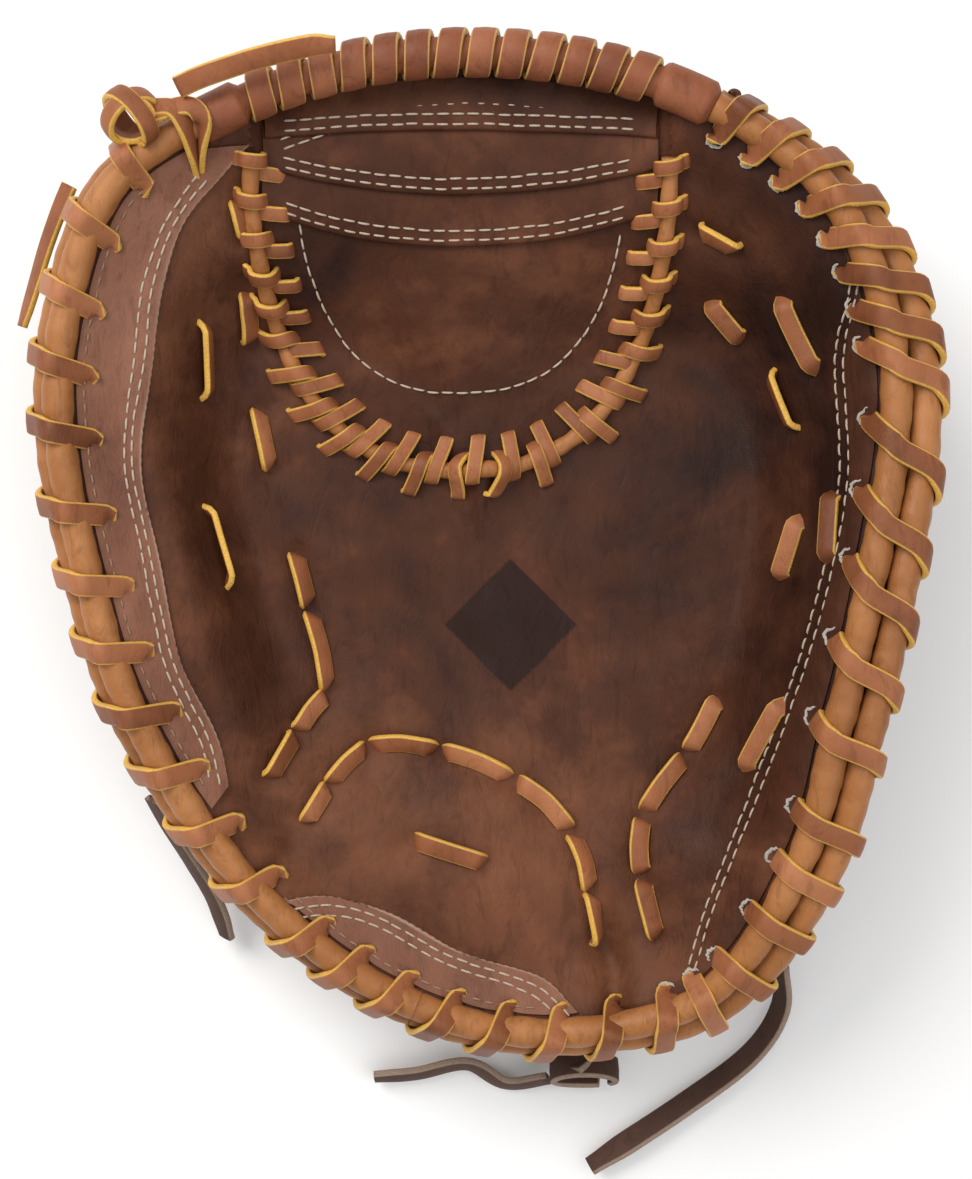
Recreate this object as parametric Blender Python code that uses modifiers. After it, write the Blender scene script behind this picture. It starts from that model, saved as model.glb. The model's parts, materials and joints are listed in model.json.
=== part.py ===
"""A baseball catcher's mitt for the left hand, lying on its back with the pocket up.

Frame: +Z out of the pocket, +Y from the heel to the web, -X to the thumb and +X to the fingers. The
origin is under the middle of the pocket, on the plane that the back rests on. Lengths are in metres; the
table is in millimetres.

The mitt is one form: a rim that is described round the pocket by angle, and a palm surface that dips
inside it. Every leather, pad and lace is laid on that form, so a change to the table carries all of them
with it. The thumb side and the finger side each fold about a crease that runs from the heel to one end
of the web.
"""

import math

import bmesh
import bpy
from mathutils import Vector

MM = 0.001

# The form, one row an angle: degrees from +X, then the rim's radius and height in mm, where the pocket's
# wall starts and ends as shares of the radius, and how far the outer rim roll hangs below the inner one,
# in degrees.
FORM = [
    (0, 109.0, 88, 0.70, 0.97, 8),
    (30, 128.5, 88, 0.66, 0.96, 25),
    (45, 136.5, 87, 0.60, 0.94, 50),
    (60, 138.0, 83, 0.42, 0.96, 70),
    (90, 137.0, 82, 0.14, 1.02, 70),
    (120, 140.5, 80.5, 0.42, 0.94, 70),
    (135, 143.5, 80, 0.58, 0.88, 66),
    (150, 133.0, 78, 0.60, 0.84, 64),
    (180, 111.5, 75.5, 0.58, 0.78, 62),
    (205, 108.0, 70.5, 0.58, 0.80, 62),
    (225, 112.0, 63.5, 0.58, 0.86, 64),
    (245, 122.0, 58.5, 0.48, 0.88, 66),
    (270, 137.4, 56, 0.40, 0.88, 66),
    (285, 143.0, 56, 0.44, 0.90, 62),
    (297, 143.0, 61.5, 0.50, 0.94, 45),
    (315, 126.0, 75, 0.66, 0.96, 15),
    (335, 110.0, 83.5, 0.70, 0.97, 5),
]
RADIUS, HEIGHT, WALL_FOOT, WALL_TOP, ROLL_HANG = range(1, 6)

POCKET_FLOOR = 38 * MM
POCKET_BOWL = 4 * MM
RIM_DROP = 9 * MM  # from a rim roll's centre down to the palm leather's edge
HEEL_MOUND = Vector((-7 * MM, -88 * MM, 6 * MM))  # middle of the heel pad and its height
HEEL_MOUND_SIZE = Vector((34 * MM, 26 * MM))

LEATHER = 2.0 * MM
SOFT_LEATHER = 1.4 * MM
LAYER_GAP = 0.8 * MM
PAD = 11 * MM
ROLL_RADIUS = 4.2 * MM
ROLL_SPACING = 8.9 * MM
LACE_THICK = 1.8 * MM
LACE_WIDE = 6 * MM
LACE_GAP = 0.9 * MM  # between a lace and the line it's wound round
EDGE_INSET = 4.5 * MM  # how far inside the inner roll's centre line the palm leather ends
BACK_DROP = 17 * MM  # from a rim roll's centre down to the back leather's edge
BACK_REACH = 5 * MM  # how far the back leather's edge stands outside the outer roll

# Each crease is a straight line: its foot at the heel and its head at the web.
THUMB_CREASE = (Vector((-55 * MM, -95 * MM, 50 * MM)), Vector((-71 * MM, 113 * MM, 70 * MM)))
FINGER_CREASE = (Vector((37 * MM, -134 * MM, 48 * MM)), Vector((59.8 * MM, 113 * MM, 74 * MM)))
CREASE_GAP = 2 * MM
CREASE_END_GAP = 5 * MM

# Rim angles in degrees at which each stretch of rim starts and ends.
THUMB_RIM = (236, 127)
HEEL_RIM = (244, 281)
FINGER_RIM = (-71, 56)
WEB_RIM = (118, 65)

# The web's lower edge is half of a superellipse, open towards the web's top.
WEB_CENTRE = Vector((-5.5 * MM, 110 * MM))
WEB_HALF = Vector((59 * MM, 86 * MM))
WEB_POWER = 2.4
SEAM_CLEARANCE = 7 * MM
SEAM_CORD_RADIUS = 3.0 * MM

BAR_RADIUS = 4.0 * MM
BINDING = 1.8 * MM

STRAP_X = (-54 * MM, 32 * MM)
STRAP_Y = (-112 * MM, -82 * MM)
STRAP_THICK = 3 * MM
STRAP_HINGE_Z = 9 * MM
RING_WIRE = 1.5 * MM

THONG_WIDE = 8 * MM
THONG_THICK = 2.2 * MM


# ---------------------------------------------------------------- the form


def clamp(value, low=0.0, high=1.0):
    return max(low, min(high, value))


def smooth(share):
    share = clamp(share)
    return share * share * (3 - 2 * share)


def form(angle, column):
    """A column of the table at any angle in degrees, on a smooth closed curve through its rows."""
    count = len(FORM)
    angle %= 360
    after = next((i for i, row in enumerate(FORM) if row[0] > angle), count)

    def row(i):
        turns, index = divmod(i, count)
        return FORM[index][0] + 360 * turns, FORM[index][column]

    (a0, v0), (a1, v1), (a2, v2), (a3, v3) = (row(after + k) for k in (-2, -1, 0, 1))
    t = (angle - a1) / (a2 - a1)
    slope1 = (v2 - v0) / (a2 - a0) * (a2 - a1)
    slope2 = (v3 - v1) / (a3 - a1) * (a2 - a1)
    return (
        v1 * (2 * t**3 - 3 * t**2 + 1)
        + slope1 * (t**3 - 2 * t**2 + t)
        + v2 * (3 * t**2 - 2 * t**3)
        + slope2 * (t**3 - t**2)
    )


def outward(angle):
    return Vector((math.cos(math.radians(angle)), math.sin(math.radians(angle)), 0))


def rim(angle, out=0.0, up=0.0):
    """A point on the rim, the inner roll's centre line, moved square to the rim in plan, and upwards."""
    before, after = (outward(turn) * form(turn, RADIUS) * MM for turn in (angle - 1, angle + 1))
    square = (after - before).cross(Vector((0, 0, 1))).normalized()
    place = outward(angle) * form(angle, RADIUS) * MM + square * out
    place.z = form(angle, HEIGHT) * MM + up
    return place


def outer_roll(angle):
    hang = math.radians(form(angle, ROLL_HANG))
    return rim(angle, ROLL_SPACING * math.cos(hang), -ROLL_SPACING * math.sin(hang))


def palm_height(x, y):
    """Height of the palm leather's upper face."""
    angle = math.degrees(math.atan2(y, x))
    share = math.hypot(x, y) / (form(angle, RADIUS) * MM)
    foot, top = form(angle, WALL_FOOT), form(angle, WALL_TOP)
    edge = form(angle, HEIGHT) * MM - RIM_DROP
    bowl = POCKET_BOWL * min(share / foot, 1) ** 2
    wall = (edge - POCKET_FLOOR - POCKET_BOWL) * smooth((share - foot) / (top - foot))
    mound = HEEL_MOUND.z * math.exp(
        -(((x - HEEL_MOUND.x) / HEEL_MOUND_SIZE.x) ** 2) - ((y - HEEL_MOUND.y) / HEEL_MOUND_SIZE.y) ** 2
    )
    return POCKET_FLOOR + bowl + wall + mound


def steepness(x, y):
    """How much longer a vertical line through a layer is than the layer's thickness."""
    step = 2 * MM
    dx = (palm_height(x + step, y) - palm_height(x - step, y)) / (2 * step)
    dy = (palm_height(x, y + step) - palm_height(x, y - step)) / (2 * step)
    return min(math.sqrt(1 + dx * dx + dy * dy), 3.2)


def on_palm(place, depth=0.0):
    """The point of the palm form at this x and y, depth below its upper face."""
    z = palm_height(place.x, place.y) - depth * steepness(place.x, place.y)
    return Vector((place.x, place.y, z))


# ---------------------------------------------------------------- curves in the plane of the form


def crease_point(crease, v, aside):
    """A point beside a crease, to -X or +X of it by a gap that widens to both the crease's ends."""
    gap = CREASE_GAP + CREASE_END_GAP * (2 * v - 1) ** 2
    return crease[0].lerp(crease[1], v) + Vector((aside * gap, 0, 0))


def rim_between(ends, share, out=0.0):
    return rim(ends[0] + (ends[1] - ends[0]) * share, out)


def web_edge(share, grow=0.0, narrow=0.0):
    """The web's lower edge, from its thumb end at share 0 to its finger end at 1. grow widens the
    superellipse, and narrow leaves out that many degrees at each end."""
    turn = math.radians(180 - narrow - (180 - 2 * narrow) * share)
    c, s = math.cos(turn), math.sin(turn)
    x = WEB_CENTRE.x + (WEB_HALF.x + grow) * math.copysign(abs(c) ** (2 / WEB_POWER), c)
    y = WEB_CENTRE.y - (WEB_HALF.y + grow) * abs(s) ** (2 / WEB_POWER)
    return Vector((x, y, 0))


# Each patch maps u and v, both from 0 to 1, to a point in plan.


def thumb_patch(u, v):
    return crease_point(THUMB_CREASE, v, -1).lerp(rim_between(THUMB_RIM, v, -EDGE_INSET), u)


def finger_patch(u, v):
    return crease_point(FINGER_CREASE, v, 1).lerp(rim_between(FINGER_RIM, v, -EDGE_INSET), u)


def centre_patch(u, v):
    return rim_between(HEEL_RIM, u, -EDGE_INSET).lerp(web_edge(u, SEAM_CLEARANCE, 30), v)


def web_patch(u, v):
    return web_edge(u, -SEAM_CLEARANCE).lerp(rim_between(WEB_RIM, u, -10 * MM), v)


# ---------------------------------------------------------------- building tools


def clear_scene():
    for obj in list(bpy.data.objects):
        bpy.data.objects.remove(obj)


def material(name, colour, roughness, metallic=0.0):
    made = bpy.data.materials.new(name)
    made.use_nodes = True
    shader = made.node_tree.nodes["Principled BSDF"]
    shader.inputs["Base Color"].default_value = (*colour, 1)
    shader.inputs["Roughness"].default_value = roughness
    shader.inputs["Metallic"].default_value = metallic
    return made


def add_object(name, data, finish, home):
    obj = bpy.data.objects.new(name, data)
    data.materials.append(finish)
    home.objects.link(obj)
    return obj


def grid_mesh(name, place, columns, rows, place_below=None):
    """A grid laid by place(u, v), facing up. With place_below it is a closed slab down to that surface."""
    bm = bmesh.new()

    def layer(lay):
        shares = [i / columns for i in range(columns + 1)]
        return [[bm.verts.new(lay(share, j / rows)) for share in shares] for j in range(rows + 1)]

    def skin(verts):
        for j in range(rows):
            for i in range(columns):
                a, b, c, d = verts[j][i], verts[j][i + 1], verts[j + 1][i + 1], verts[j + 1][i]
                bm.faces.new((a, b, c))
                bm.faces.new((a, c, d))

    def outline(verts):
        right = [row[-1] for row in verts[1:-1]]
        left = [row[0] for row in reversed(verts[1:-1])]
        return [*verts[0], *right, *reversed(verts[-1]), *left]

    upper = layer(place)
    skin(upper)
    bm.normal_update()
    if sum(face.normal.z * face.calc_area() for face in bm.faces) < 0:
        bmesh.ops.reverse_faces(bm, faces=bm.faces[:])
    if place_below:
        lower = layer(place_below)
        skin(lower)
        top, bottom = outline(upper), outline(lower)
        for a, b, c, d in zip(top, [*top[1:], top[0]], [*bottom[1:], bottom[0]], bottom, strict=True):
            bm.faces.new((a, b, c))
            bm.faces.new((a, c, d))
        bmesh.ops.recalc_face_normals(bm, faces=bm.faces[:])
    mesh = bpy.data.meshes.new(name)
    bm.to_mesh(mesh)
    bm.free()
    return mesh


def solidify(obj, thickness, offset=-1.0):
    thicken = obj.modifiers.new("thickness", "SOLIDIFY")
    thicken.thickness = thickness
    thicken.offset = offset
    return obj


def sheet(name, place, columns, rows, finish, home, thickness=LEATHER, offset=-1.0):
    """A leather of even thickness, below the surface that place(u, v) lays, or above it with offset 1."""
    made = add_object(name, grid_mesh(name, place, columns, rows), finish, home)
    return solidify(made, thickness, offset)


def slab(name, place, place_below, columns, rows, finish, home):
    return add_object(name, grid_mesh(name, place, columns, rows, place_below), finish, home)


def curve_data(name, points, radius, resolution=0, closed=False, caps=True):
    data = bpy.data.curves.new(name, "CURVE")
    data.dimensions = "3D"
    data.bevel_depth = radius
    data.bevel_resolution = resolution
    data.use_fill_caps = caps
    spline = data.splines.new("POLY")
    spline.points.add(len(points) - 1)
    for point, place in zip(spline.points, points, strict=True):
        point.co = (*place, 1)
    spline.use_cyclic_u = closed
    return data


def tube(name, points, radius, finish, home, resolution=1, closed=False):
    return add_object(name, curve_data(name, points, radius, resolution, closed), finish, home)


def pipe(name, points, inner_radius, wall, finish, home):
    """A tube that is open at both ends, such as a leather binding round a core."""
    guide = bpy.data.objects.new(name, curve_data(name, points, inner_radius, resolution=2, caps=False))
    home.objects.link(guide)
    bpy.context.view_layer.update()
    mesh = bpy.data.meshes.new_from_object(guide.evaluated_get(bpy.context.evaluated_depsgraph_get()))
    bpy.data.objects.remove(guide)
    mesh.materials.clear()
    return solidify(add_object(name, mesh, finish, home), wall, offset=1.0)


def flat_lace(name, route, finish, home, wide=LACE_WIDE, thick=LACE_THICK):
    """A flat lace along a route of pairs: a point, and the direction the lace's face looks in there."""
    bm = bmesh.new()
    rings = []
    for index, (place, face) in enumerate(route):
        ahead = route[min(index + 1, len(route) - 1)][0] - route[max(index - 1, 0)][0]
        across = ahead.cross(face).normalized() * wide / 2
        deep = across.cross(ahead).normalized() * thick / 2
        corners = (across + deep, across - deep, -across - deep, -across + deep)
        rings.append([bm.verts.new(place + corner) for corner in corners])
    for ring, following in zip(rings, rings[1:]):
        for k in range(4):
            bm.faces.new((ring[k], ring[(k + 1) % 4], following[(k + 1) % 4], following[k]))
    bm.faces.new(rings[0])
    bm.faces.new(rings[-1])
    bmesh.ops.recalc_face_normals(bm, faces=bm.faces[:])
    mesh = bpy.data.meshes.new(name)
    bm.to_mesh(mesh)
    bm.free()
    return add_object(name, mesh, finish, home)


def loose_end(name, points, finish, home, wide, thick):
    """The free end of a lace or a thong, standing on its edge along a smooth curve."""
    data = curve_data(name, smooth_route([Vector(point) * MM for point in points]), thick / 2)
    data.extrude = (wide - thick) / 2
    return add_object(name, data, finish, home)


def smooth_route(points, pieces=4):
    """Points along a smooth curve through the route's own points."""
    line = [2 * points[0] - points[1], *points, 2 * points[-1] - points[-2]]
    found = []
    for a, b, c, d in zip(line, line[1:], line[2:], line[3:]):
        for step in range(pieces):
            t = step / pieces
            bend, twist = 2 * a - 5 * b + 4 * c - d, 3 * b - a - 3 * c + d
            found.append(0.5 * (2 * b + (c - a) * t + bend * t**2 + twist * t**3))
    return [*found, points[-1]]


def sock(name, sections, tilt, finish, home, segments=14):
    """A flattened leather stall, open at its first section and closed at its last. A section is its
    middle, half its width and half its height; tilt turns its width about +Y."""
    bm = bmesh.new()
    across, up = Vector((math.cos(tilt), 0, -math.sin(tilt))), Vector((math.sin(tilt), 0, math.cos(tilt)))
    ring = bmesh.ops.create_circle(bm, segments=segments, radius=1)["verts"]
    edges = bm.edges[:]
    for index, (middle, half_width, half_height) in enumerate(sections):
        if index:
            made = bmesh.ops.extrude_edge_only(bm, edges=edges)["geom"]
            edges = [item for item in made if isinstance(item, bmesh.types.BMEdge)]
            edges = [edge for edge in edges if all(vert in made for vert in edge.verts)]
            ring = [item for item in made if isinstance(item, bmesh.types.BMVert)]
        for turn, vert in enumerate(ring):
            angle = 2 * math.pi * turn / segments
            vert.co = middle + across * half_width * math.cos(angle) + up * half_height * math.sin(angle)
    bmesh.ops.contextual_create(bm, geom=ring)
    bmesh.ops.recalc_face_normals(bm, faces=bm.faces[:])
    mesh = bpy.data.meshes.new(name)
    bm.to_mesh(mesh)
    bm.free()
    return solidify(add_object(name, mesh, finish, home), SOFT_LEATHER)


def lump(name, middle, half_size, finish, home):
    """A tied knot, as a rounded lump."""
    bm = bmesh.new()
    bmesh.ops.create_icosphere(bm, subdivisions=2, radius=1)
    for vert in bm.verts:
        vert.co = middle + Vector(a * b for a, b in zip(vert.co, half_size))
    mesh = bpy.data.meshes.new(name)
    bm.to_mesh(mesh)
    bm.free()
    return add_object(name, mesh, finish, home)


# ---------------------------------------------------------------- lace routes


def coil(centre, side, up, radius, wraps, points_a_wrap, reach=0.0):
    """The route of a lace wound clear of a line by radius. centre(t), side(t) and up(t) give the line's
    frame at share t, and the winding's two halves stand apart along side by twice reach."""
    route = []
    corner = radius / math.cos(math.pi / points_a_wrap)
    for step in range(wraps * points_a_wrap + 1):
        t = step / (wraps * points_a_wrap)
        angle = 2 * math.pi * (step + 0.5) / points_a_wrap
        face = side(t) * math.cos(angle) + up(t) * math.sin(angle)
        route.append((centre(t) + face * corner + side(t) * math.copysign(reach, math.cos(angle)), face))
    return route


def rim_lace(ends, wraps):
    """The lace wound round both rim rolls."""

    def angle(t):
        return ends[0] + (ends[1] - ends[0]) * t

    def centre(t):
        return (rim(angle(t)) + outer_roll(angle(t))) / 2

    def side(t):
        return (outer_roll(angle(t)) - rim(angle(t))).normalized()

    def up(t):
        across = side(t).cross(rim(angle(t) + 1) - rim(angle(t) - 1)).normalized()
        return across if across.z > 0 else -across

    return coil(centre, side, up, ROLL_RADIUS + LACE_GAP + LACE_THICK / 2, wraps, 8, ROLL_SPACING / 2)


def wound_lace(line, radius, wraps):
    """The lace wound round one line, such as the web's bar."""

    def along(t):
        return (line(min(t + 0.01, 1)) - line(max(t - 0.01, 0))).normalized()

    def side(t):
        return along(t).cross(Vector((0, 0, 1))).normalized()

    def up(t):
        return side(t).cross(along(t))

    return coil(line, side, up, radius + LACE_GAP + LACE_THICK / 2, wraps, 7)


def laid_lace(points):
    """The route of a lace that lies on the palm leather, by its points in plan, in mm."""
    route = []
    for place in smooth_route([Vector((x * MM, y * MM, 0)) for x, y in points], 3):
        lean_x = palm_height(place.x + MM, place.y) - palm_height(place.x - MM, place.y)
        lean_y = palm_height(place.x, place.y + MM) - palm_height(place.x, place.y - MM)
        face = Vector((-lean_x, -lean_y, 2 * MM)).normalized()
        route.append((on_palm(place) + face * (LACE_THICK / 2 + 2 * MM), face))
    return route


# ---------------------------------------------------------------- the mitt's parts


def palm_side(name, patch, columns, rows, finish, home):
    """A panel of the palm leather."""
    sheet(name, lambda u, v: on_palm(patch(u, v)), columns, rows, finish, home)


def pad_top(place):
    return on_palm(place, LEATHER + LAYER_GAP)


def pad_bottom(place):
    return on_palm(place, LEATHER + LAYER_GAP + PAD)


def palm_pad(name, patch, columns, rows, finish, home, inset_u=(0, 1), inset_v=(1, 1)):
    """The felt pad under a panel of the palm leather, on the panel's grid, short of it by whole cells."""
    across, along = columns - sum(inset_u), rows - sum(inset_v)

    def inset(u, v):
        return patch((inset_u[0] + across * u) / columns, (inset_v[0] + along * v) / rows)

    def upper(u, v):
        return pad_top(inset(u, v))

    def lower(u, v):
        return pad_bottom(inset(u, v))

    slab(name, upper, lower, across, along, finish, home)


def overlay(name, patch, span_u, span_v, finish, home, columns=4, rows=12):
    """A patch of leather sewn on the palm leather, between shares of the panel's u and v."""

    def place(u, v):
        inside = patch(
            span_u[0] + (span_u[1] - span_u[0]) * u,
            span_v[0] + (span_v[1] - span_v[0]) * v,
        )
        return on_palm(inside, -1.5 * MM)

    sheet(name, place, columns, rows, finish, home, SOFT_LEATHER, offset=1.0)


def back_side(name, crease, ends, side, columns, rows, finish, home):
    """A panel of the back leather, round from the crease on the rest plane up to the rim."""

    def place(u, v):
        angle = ends[0] + (ends[1] - ends[0]) * v
        hang = math.radians(form(angle, ROLL_HANG))
        outer = rim(angle, ROLL_SPACING * math.cos(hang) + BACK_REACH, -BACK_DROP)
        inner = crease_point(crease, v, side) + Vector((side * 3 * MM, 0, 0))
        turn = math.radians(90 * u)
        plan = Vector((inner.x, inner.y, 0)).lerp(Vector((outer.x, outer.y, 0)), math.sin(turn))
        return plan + Vector((0, 0, LEATHER + (outer.z - LEATHER) * (1 - math.cos(turn))))

    sheet(name, place, columns, rows, finish, home)


def back_centre(finish, home):
    """The back leather behind the pocket: flat where the mitt rests, and rising to the web's edge."""

    def place(u, v):
        plan = centre_patch(0.04 + 0.9 * u, 0.42 + 0.58 * v)
        rise = smooth((v - 0.70) / 0.30)
        climb = palm_height(plan.x, plan.y) - 12 * MM - LEATHER
        return Vector((plan.x, plan.y, LEATHER + climb * rise * 0.7))

    sheet("back_leather_center", place, 8, 9, finish, home)


def build_palm_body(home, finish):
    palm_side("palm_leather_center", centre_patch, 10, 13, finish["palm"], home)
    palm_pad("palm_pad", centre_patch, 10, 13, finish["felt"], home, (0, 0))

    def liner(u, v):
        return on_palm(centre_patch(0.04 + 0.92 * u, 0.03 + 0.94 * v), LEATHER + 2 * LAYER_GAP + PAD)

    sheet("palm_liner", liner, 8, 10, finish["liner"], home, SOFT_LEATHER)
    overlay("heel_overlay", centre_patch, (0.05, 0.78), (0.04, 0.18), finish["palm"], home, 10, 3)
    back_centre(finish["back"], home)
    sock(
        "index_stall",
        [
            (Vector((28, -62, 12.5)) * MM, 13.0 * MM, 8.0 * MM),
            (Vector((30, -22, 12.5)) * MM, 11.5 * MM, 7.5 * MM),
            (Vector((31, -8, 12.5)) * MM, 6.5 * MM, 4.5 * MM),
        ],
        0.0,
        finish["liner"],
        home,
    )


def build_heel_rim(home, finish):
    spread = [HEEL_RIM[0] + (HEEL_RIM[1] - HEEL_RIM[0]) * step / 10 for step in range(11)]
    tube("heel_roll_inner", [rim(angle) for angle in spread], ROLL_RADIUS, finish["roll"], home)
    tube("heel_roll_outer", [outer_roll(angle) for angle in spread], ROLL_RADIUS, finish["roll"], home)
    inside = (HEEL_RIM[0] + 2, HEEL_RIM[1] - 2)
    flat_lace("heel_rim_lace", rim_lace(inside, 6), finish["lace"], home)


def build_web(home, finish):
    sheet("web_panel", lambda u, v: on_palm(web_patch(u, v)), 10, 9, finish["palm"], home)
    for name, low, high in (
        ("web_band_lower", 0.50, 0.62),
        ("web_band_middle", 0.65, 0.78),
        ("web_band_upper", 0.81, 0.97),
    ):
        overlay(name, web_patch, (0.09, 0.91), (low, high), finish["palm"], home, columns=10, rows=2)

    def bar(t):
        return rim_between(WEB_RIM, t)

    spread = [step / 12 for step in range(13)]
    tube("web_bar_core", [bar(t) for t in spread], BAR_RADIUS, finish["felt"], home)
    pipe("web_bar_binding", [bar(t) for t in spread], BAR_RADIUS + 0.4 * MM, BINDING, finish["palm"], home)
    wrap = wound_lace(lambda t: bar(0.06 + 0.8 * t), BAR_RADIUS + 0.4 * MM + BINDING, 15)
    flat_lace("web_bar_lace", wrap, finish["lace"], home, 5 * MM)

    def seam(t):
        plan = web_edge(0.04 + 0.92 * t)
        return on_palm(plan, 0)

    tube("web_seam_cord", [seam(step / 36) for step in range(37)], SEAM_CORD_RADIUS, finish["roll"], home)
    seam_route = wound_lace(seam, SEAM_CORD_RADIUS, 18)
    flat_lace("web_seam_lace", seam_route, finish["lace"], home, 5 * MM, 1.5 * MM)


def build_center_laces(home, finish):
    heel_arc = [(-49, -73), (-43, -64), (-33, -56), (-14, -61), (8, -68), (27, -82), (32, -99), (34, -117)]
    thumb_line = [(-57, 36), (-55.5, 26), (-51.5, -3), (-48, -24), (-44, -40), (-51, -51), (-54.5, -62)]
    heel_pad_run = [(-19, -84), (-9, -87), (2, -91)]
    flat_lace("heel_tie_lace", laid_lace(heel_arc), finish["lace"], home)
    flat_lace("pocket_tie_lace", laid_lace(thumb_line), finish["lace"], home)
    flat_lace("heel_pad_tie_lace", laid_lace(heel_pad_run), finish["lace"], home)


def build_thumb_side(home, finish):
    palm_side("palm_leather_thumb", thumb_patch, 8, 14, finish["palm"], home)
    palm_pad("thumb_pad", thumb_patch, 8, 14, finish["felt"], home)
    overlay("thumb_overlay", thumb_patch, (0.52, 0.93), (0.16, 0.93), finish["palm"], home)
    back_side("back_leather_thumb", THUMB_CREASE, THUMB_RIM, -1, 7, 14, finish["back"], home)
    sock(
        "thumb_stall",
        [
            (Vector((-86.5, -52, 29)) * MM, 12.5 * MM, 9.0 * MM),
            (Vector((-91.5, 5, 32)) * MM, 12.5 * MM, 8.5 * MM),
            (Vector((-93.5, 28, 34)) * MM, 7.0 * MM, 5.5 * MM),
        ],
        math.radians(22),
        finish["liner"],
        home,
    )
    build_wing_rim("thumb", THUMB_RIM, 11, home, finish)
    ties = [(-78, 60), (-79, 42), (-78, 12), (-74, -4), (-71, -12)]
    flat_lace("thumb_tie_lace", laid_lace(ties), finish["lace"], home)
    knot = rim(129, 11 * MM, 3 * MM)
    lump("thumb_lace_knot", knot, Vector((6.5, 5.5, 5.5)) * MM, finish["lace"], home)


def build_finger_side(home, finish):
    palm_side("palm_leather_finger", finger_patch, 9, 16, finish["palm"], home)
    palm_pad("finger_pad", finger_patch, 9, 16, finish["felt"], home)
    overlay("finger_overlay", finger_patch, (0.86, 0.97), (0.10, 0.74), finish["palm"], home, 3, 14)
    back_side("back_leather_finger", FINGER_CREASE, FINGER_RIM, 1, 8, 16, finish["back"], home)
    sock(
        "finger_stall",
        [
            (Vector((68, -50, 13.5)) * MM, 13.0 * MM, 6.4 * MM),
            (Vector((71, 20, 13.5)) * MM, 13.0 * MM, 6.4 * MM),
            (Vector((72, 44, 14)) * MM, 8.0 * MM, 4.0 * MM),
        ],
        0.0,
        finish["liner"],
        home,
    )
    build_wing_rim("finger", FINGER_RIM, 16, home, finish)
    outer_ties = [(64, 91), (76, 84), (88, 70), (95, 48), (93, 17), (92, -5)]
    inner_ties = [(80, 36), (83, 24), (83, 8), (79, -15), (70, -43), (60, -60), (55, -78), (54, -96)]
    flat_lace("finger_tie_lace_outer", laid_lace(outer_ties), finish["lace"], home)
    flat_lace("finger_tie_lace_inner", laid_lace(inner_ties), finish["lace"], home)


def build_wing_rim(side, ends, wraps, home, finish):
    """The two rolls and the lace along the rim of the thumb side or the finger side."""
    steps = 2 * wraps
    spread = [ends[0] + (ends[1] - ends[0]) * step / steps for step in range(steps + 1)]
    tube(f"{side}_roll_inner", [rim(angle) for angle in spread], ROLL_RADIUS, finish["roll"], home)
    tube(f"{side}_roll_outer", [outer_roll(angle) for angle in spread], ROLL_RADIUS, finish["roll"], home)
    margin = math.copysign(1.5, ends[1] - ends[0])
    route = rim_lace((ends[0] + margin, ends[1] - margin), wraps)
    flat_lace(f"{side}_rim_lace", route, finish["lace"], home)


def build_strap(home, finish):
    """The wrist strap across the heel of the back, its fleece, and the ring on its end."""
    middle_y = (STRAP_Y[0] + STRAP_Y[1]) / 2

    def strap(u, v):
        x = STRAP_X[0] + (STRAP_X[1] - STRAP_X[0]) * u
        y = STRAP_Y[0] + (STRAP_Y[1] - STRAP_Y[0]) * v
        rise = smooth(1 - u / 0.14) + smooth((u - 0.88) / 0.12)
        return Vector((x, y, STRAP_THICK + (STRAP_HINGE_Z - STRAP_THICK) * rise))

    def fleece(u, v):
        return strap(0.17 + 0.68 * u, 0.08 + 0.84 * v) + Vector((0, 0, 0.4 * MM))

    def fleece_top(u, v):
        crown = math.sin(math.pi * clamp(v, 0.06, 0.94)) * math.sin(math.pi * clamp(u, 0.06, 0.94))
        return fleece(u, v) + Vector((0, 0, 2 * MM + 3 * MM * crown))

    sheet("wrist_strap", strap, 16, 3, finish["back"], home, STRAP_THICK)
    slab("strap_fleece", fleece_top, fleece, 8, 4, finish["fleece"], home)
    for name, x, z in (
        ("strap_tab_thumb", STRAP_X[0] - 5 * MM, STRAP_HINGE_Z),
        ("strap_tab_finger", STRAP_X[1] + 18 * MM, STRAP_HINGE_Z),
    ):
        sheet(
            name,
            lambda u, v, x=x, z=z: Vector((x, STRAP_Y[0] + 3 * MM + 24 * MM * v, z - 3 * MM + 16 * MM * u)),
            2,
            2,
            finish["back"],
            home,
            LEATHER,
        )
    ring_x = STRAP_X[1] + 4.6 * MM
    ring_z = STRAP_HINGE_Z - 1.5 * MM
    loop = [Vector((ring_x, middle_y + reach, ring_z)) for reach in (-8 * MM, 8 * MM)]
    pipe("ring_loop", loop, RING_WIRE + 0.4 * MM, 1.0 * MM, finish["back"], home)
    bow = [
        Vector((ring_x + 9 * MM * math.sin(turn), middle_y + 11 * MM * math.cos(turn), ring_z))
        for turn in (math.pi * step / 10 for step in range(11))
    ]
    tube("strap_ring", bow, RING_WIRE, finish["steel"], home, 2, closed=True)


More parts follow.
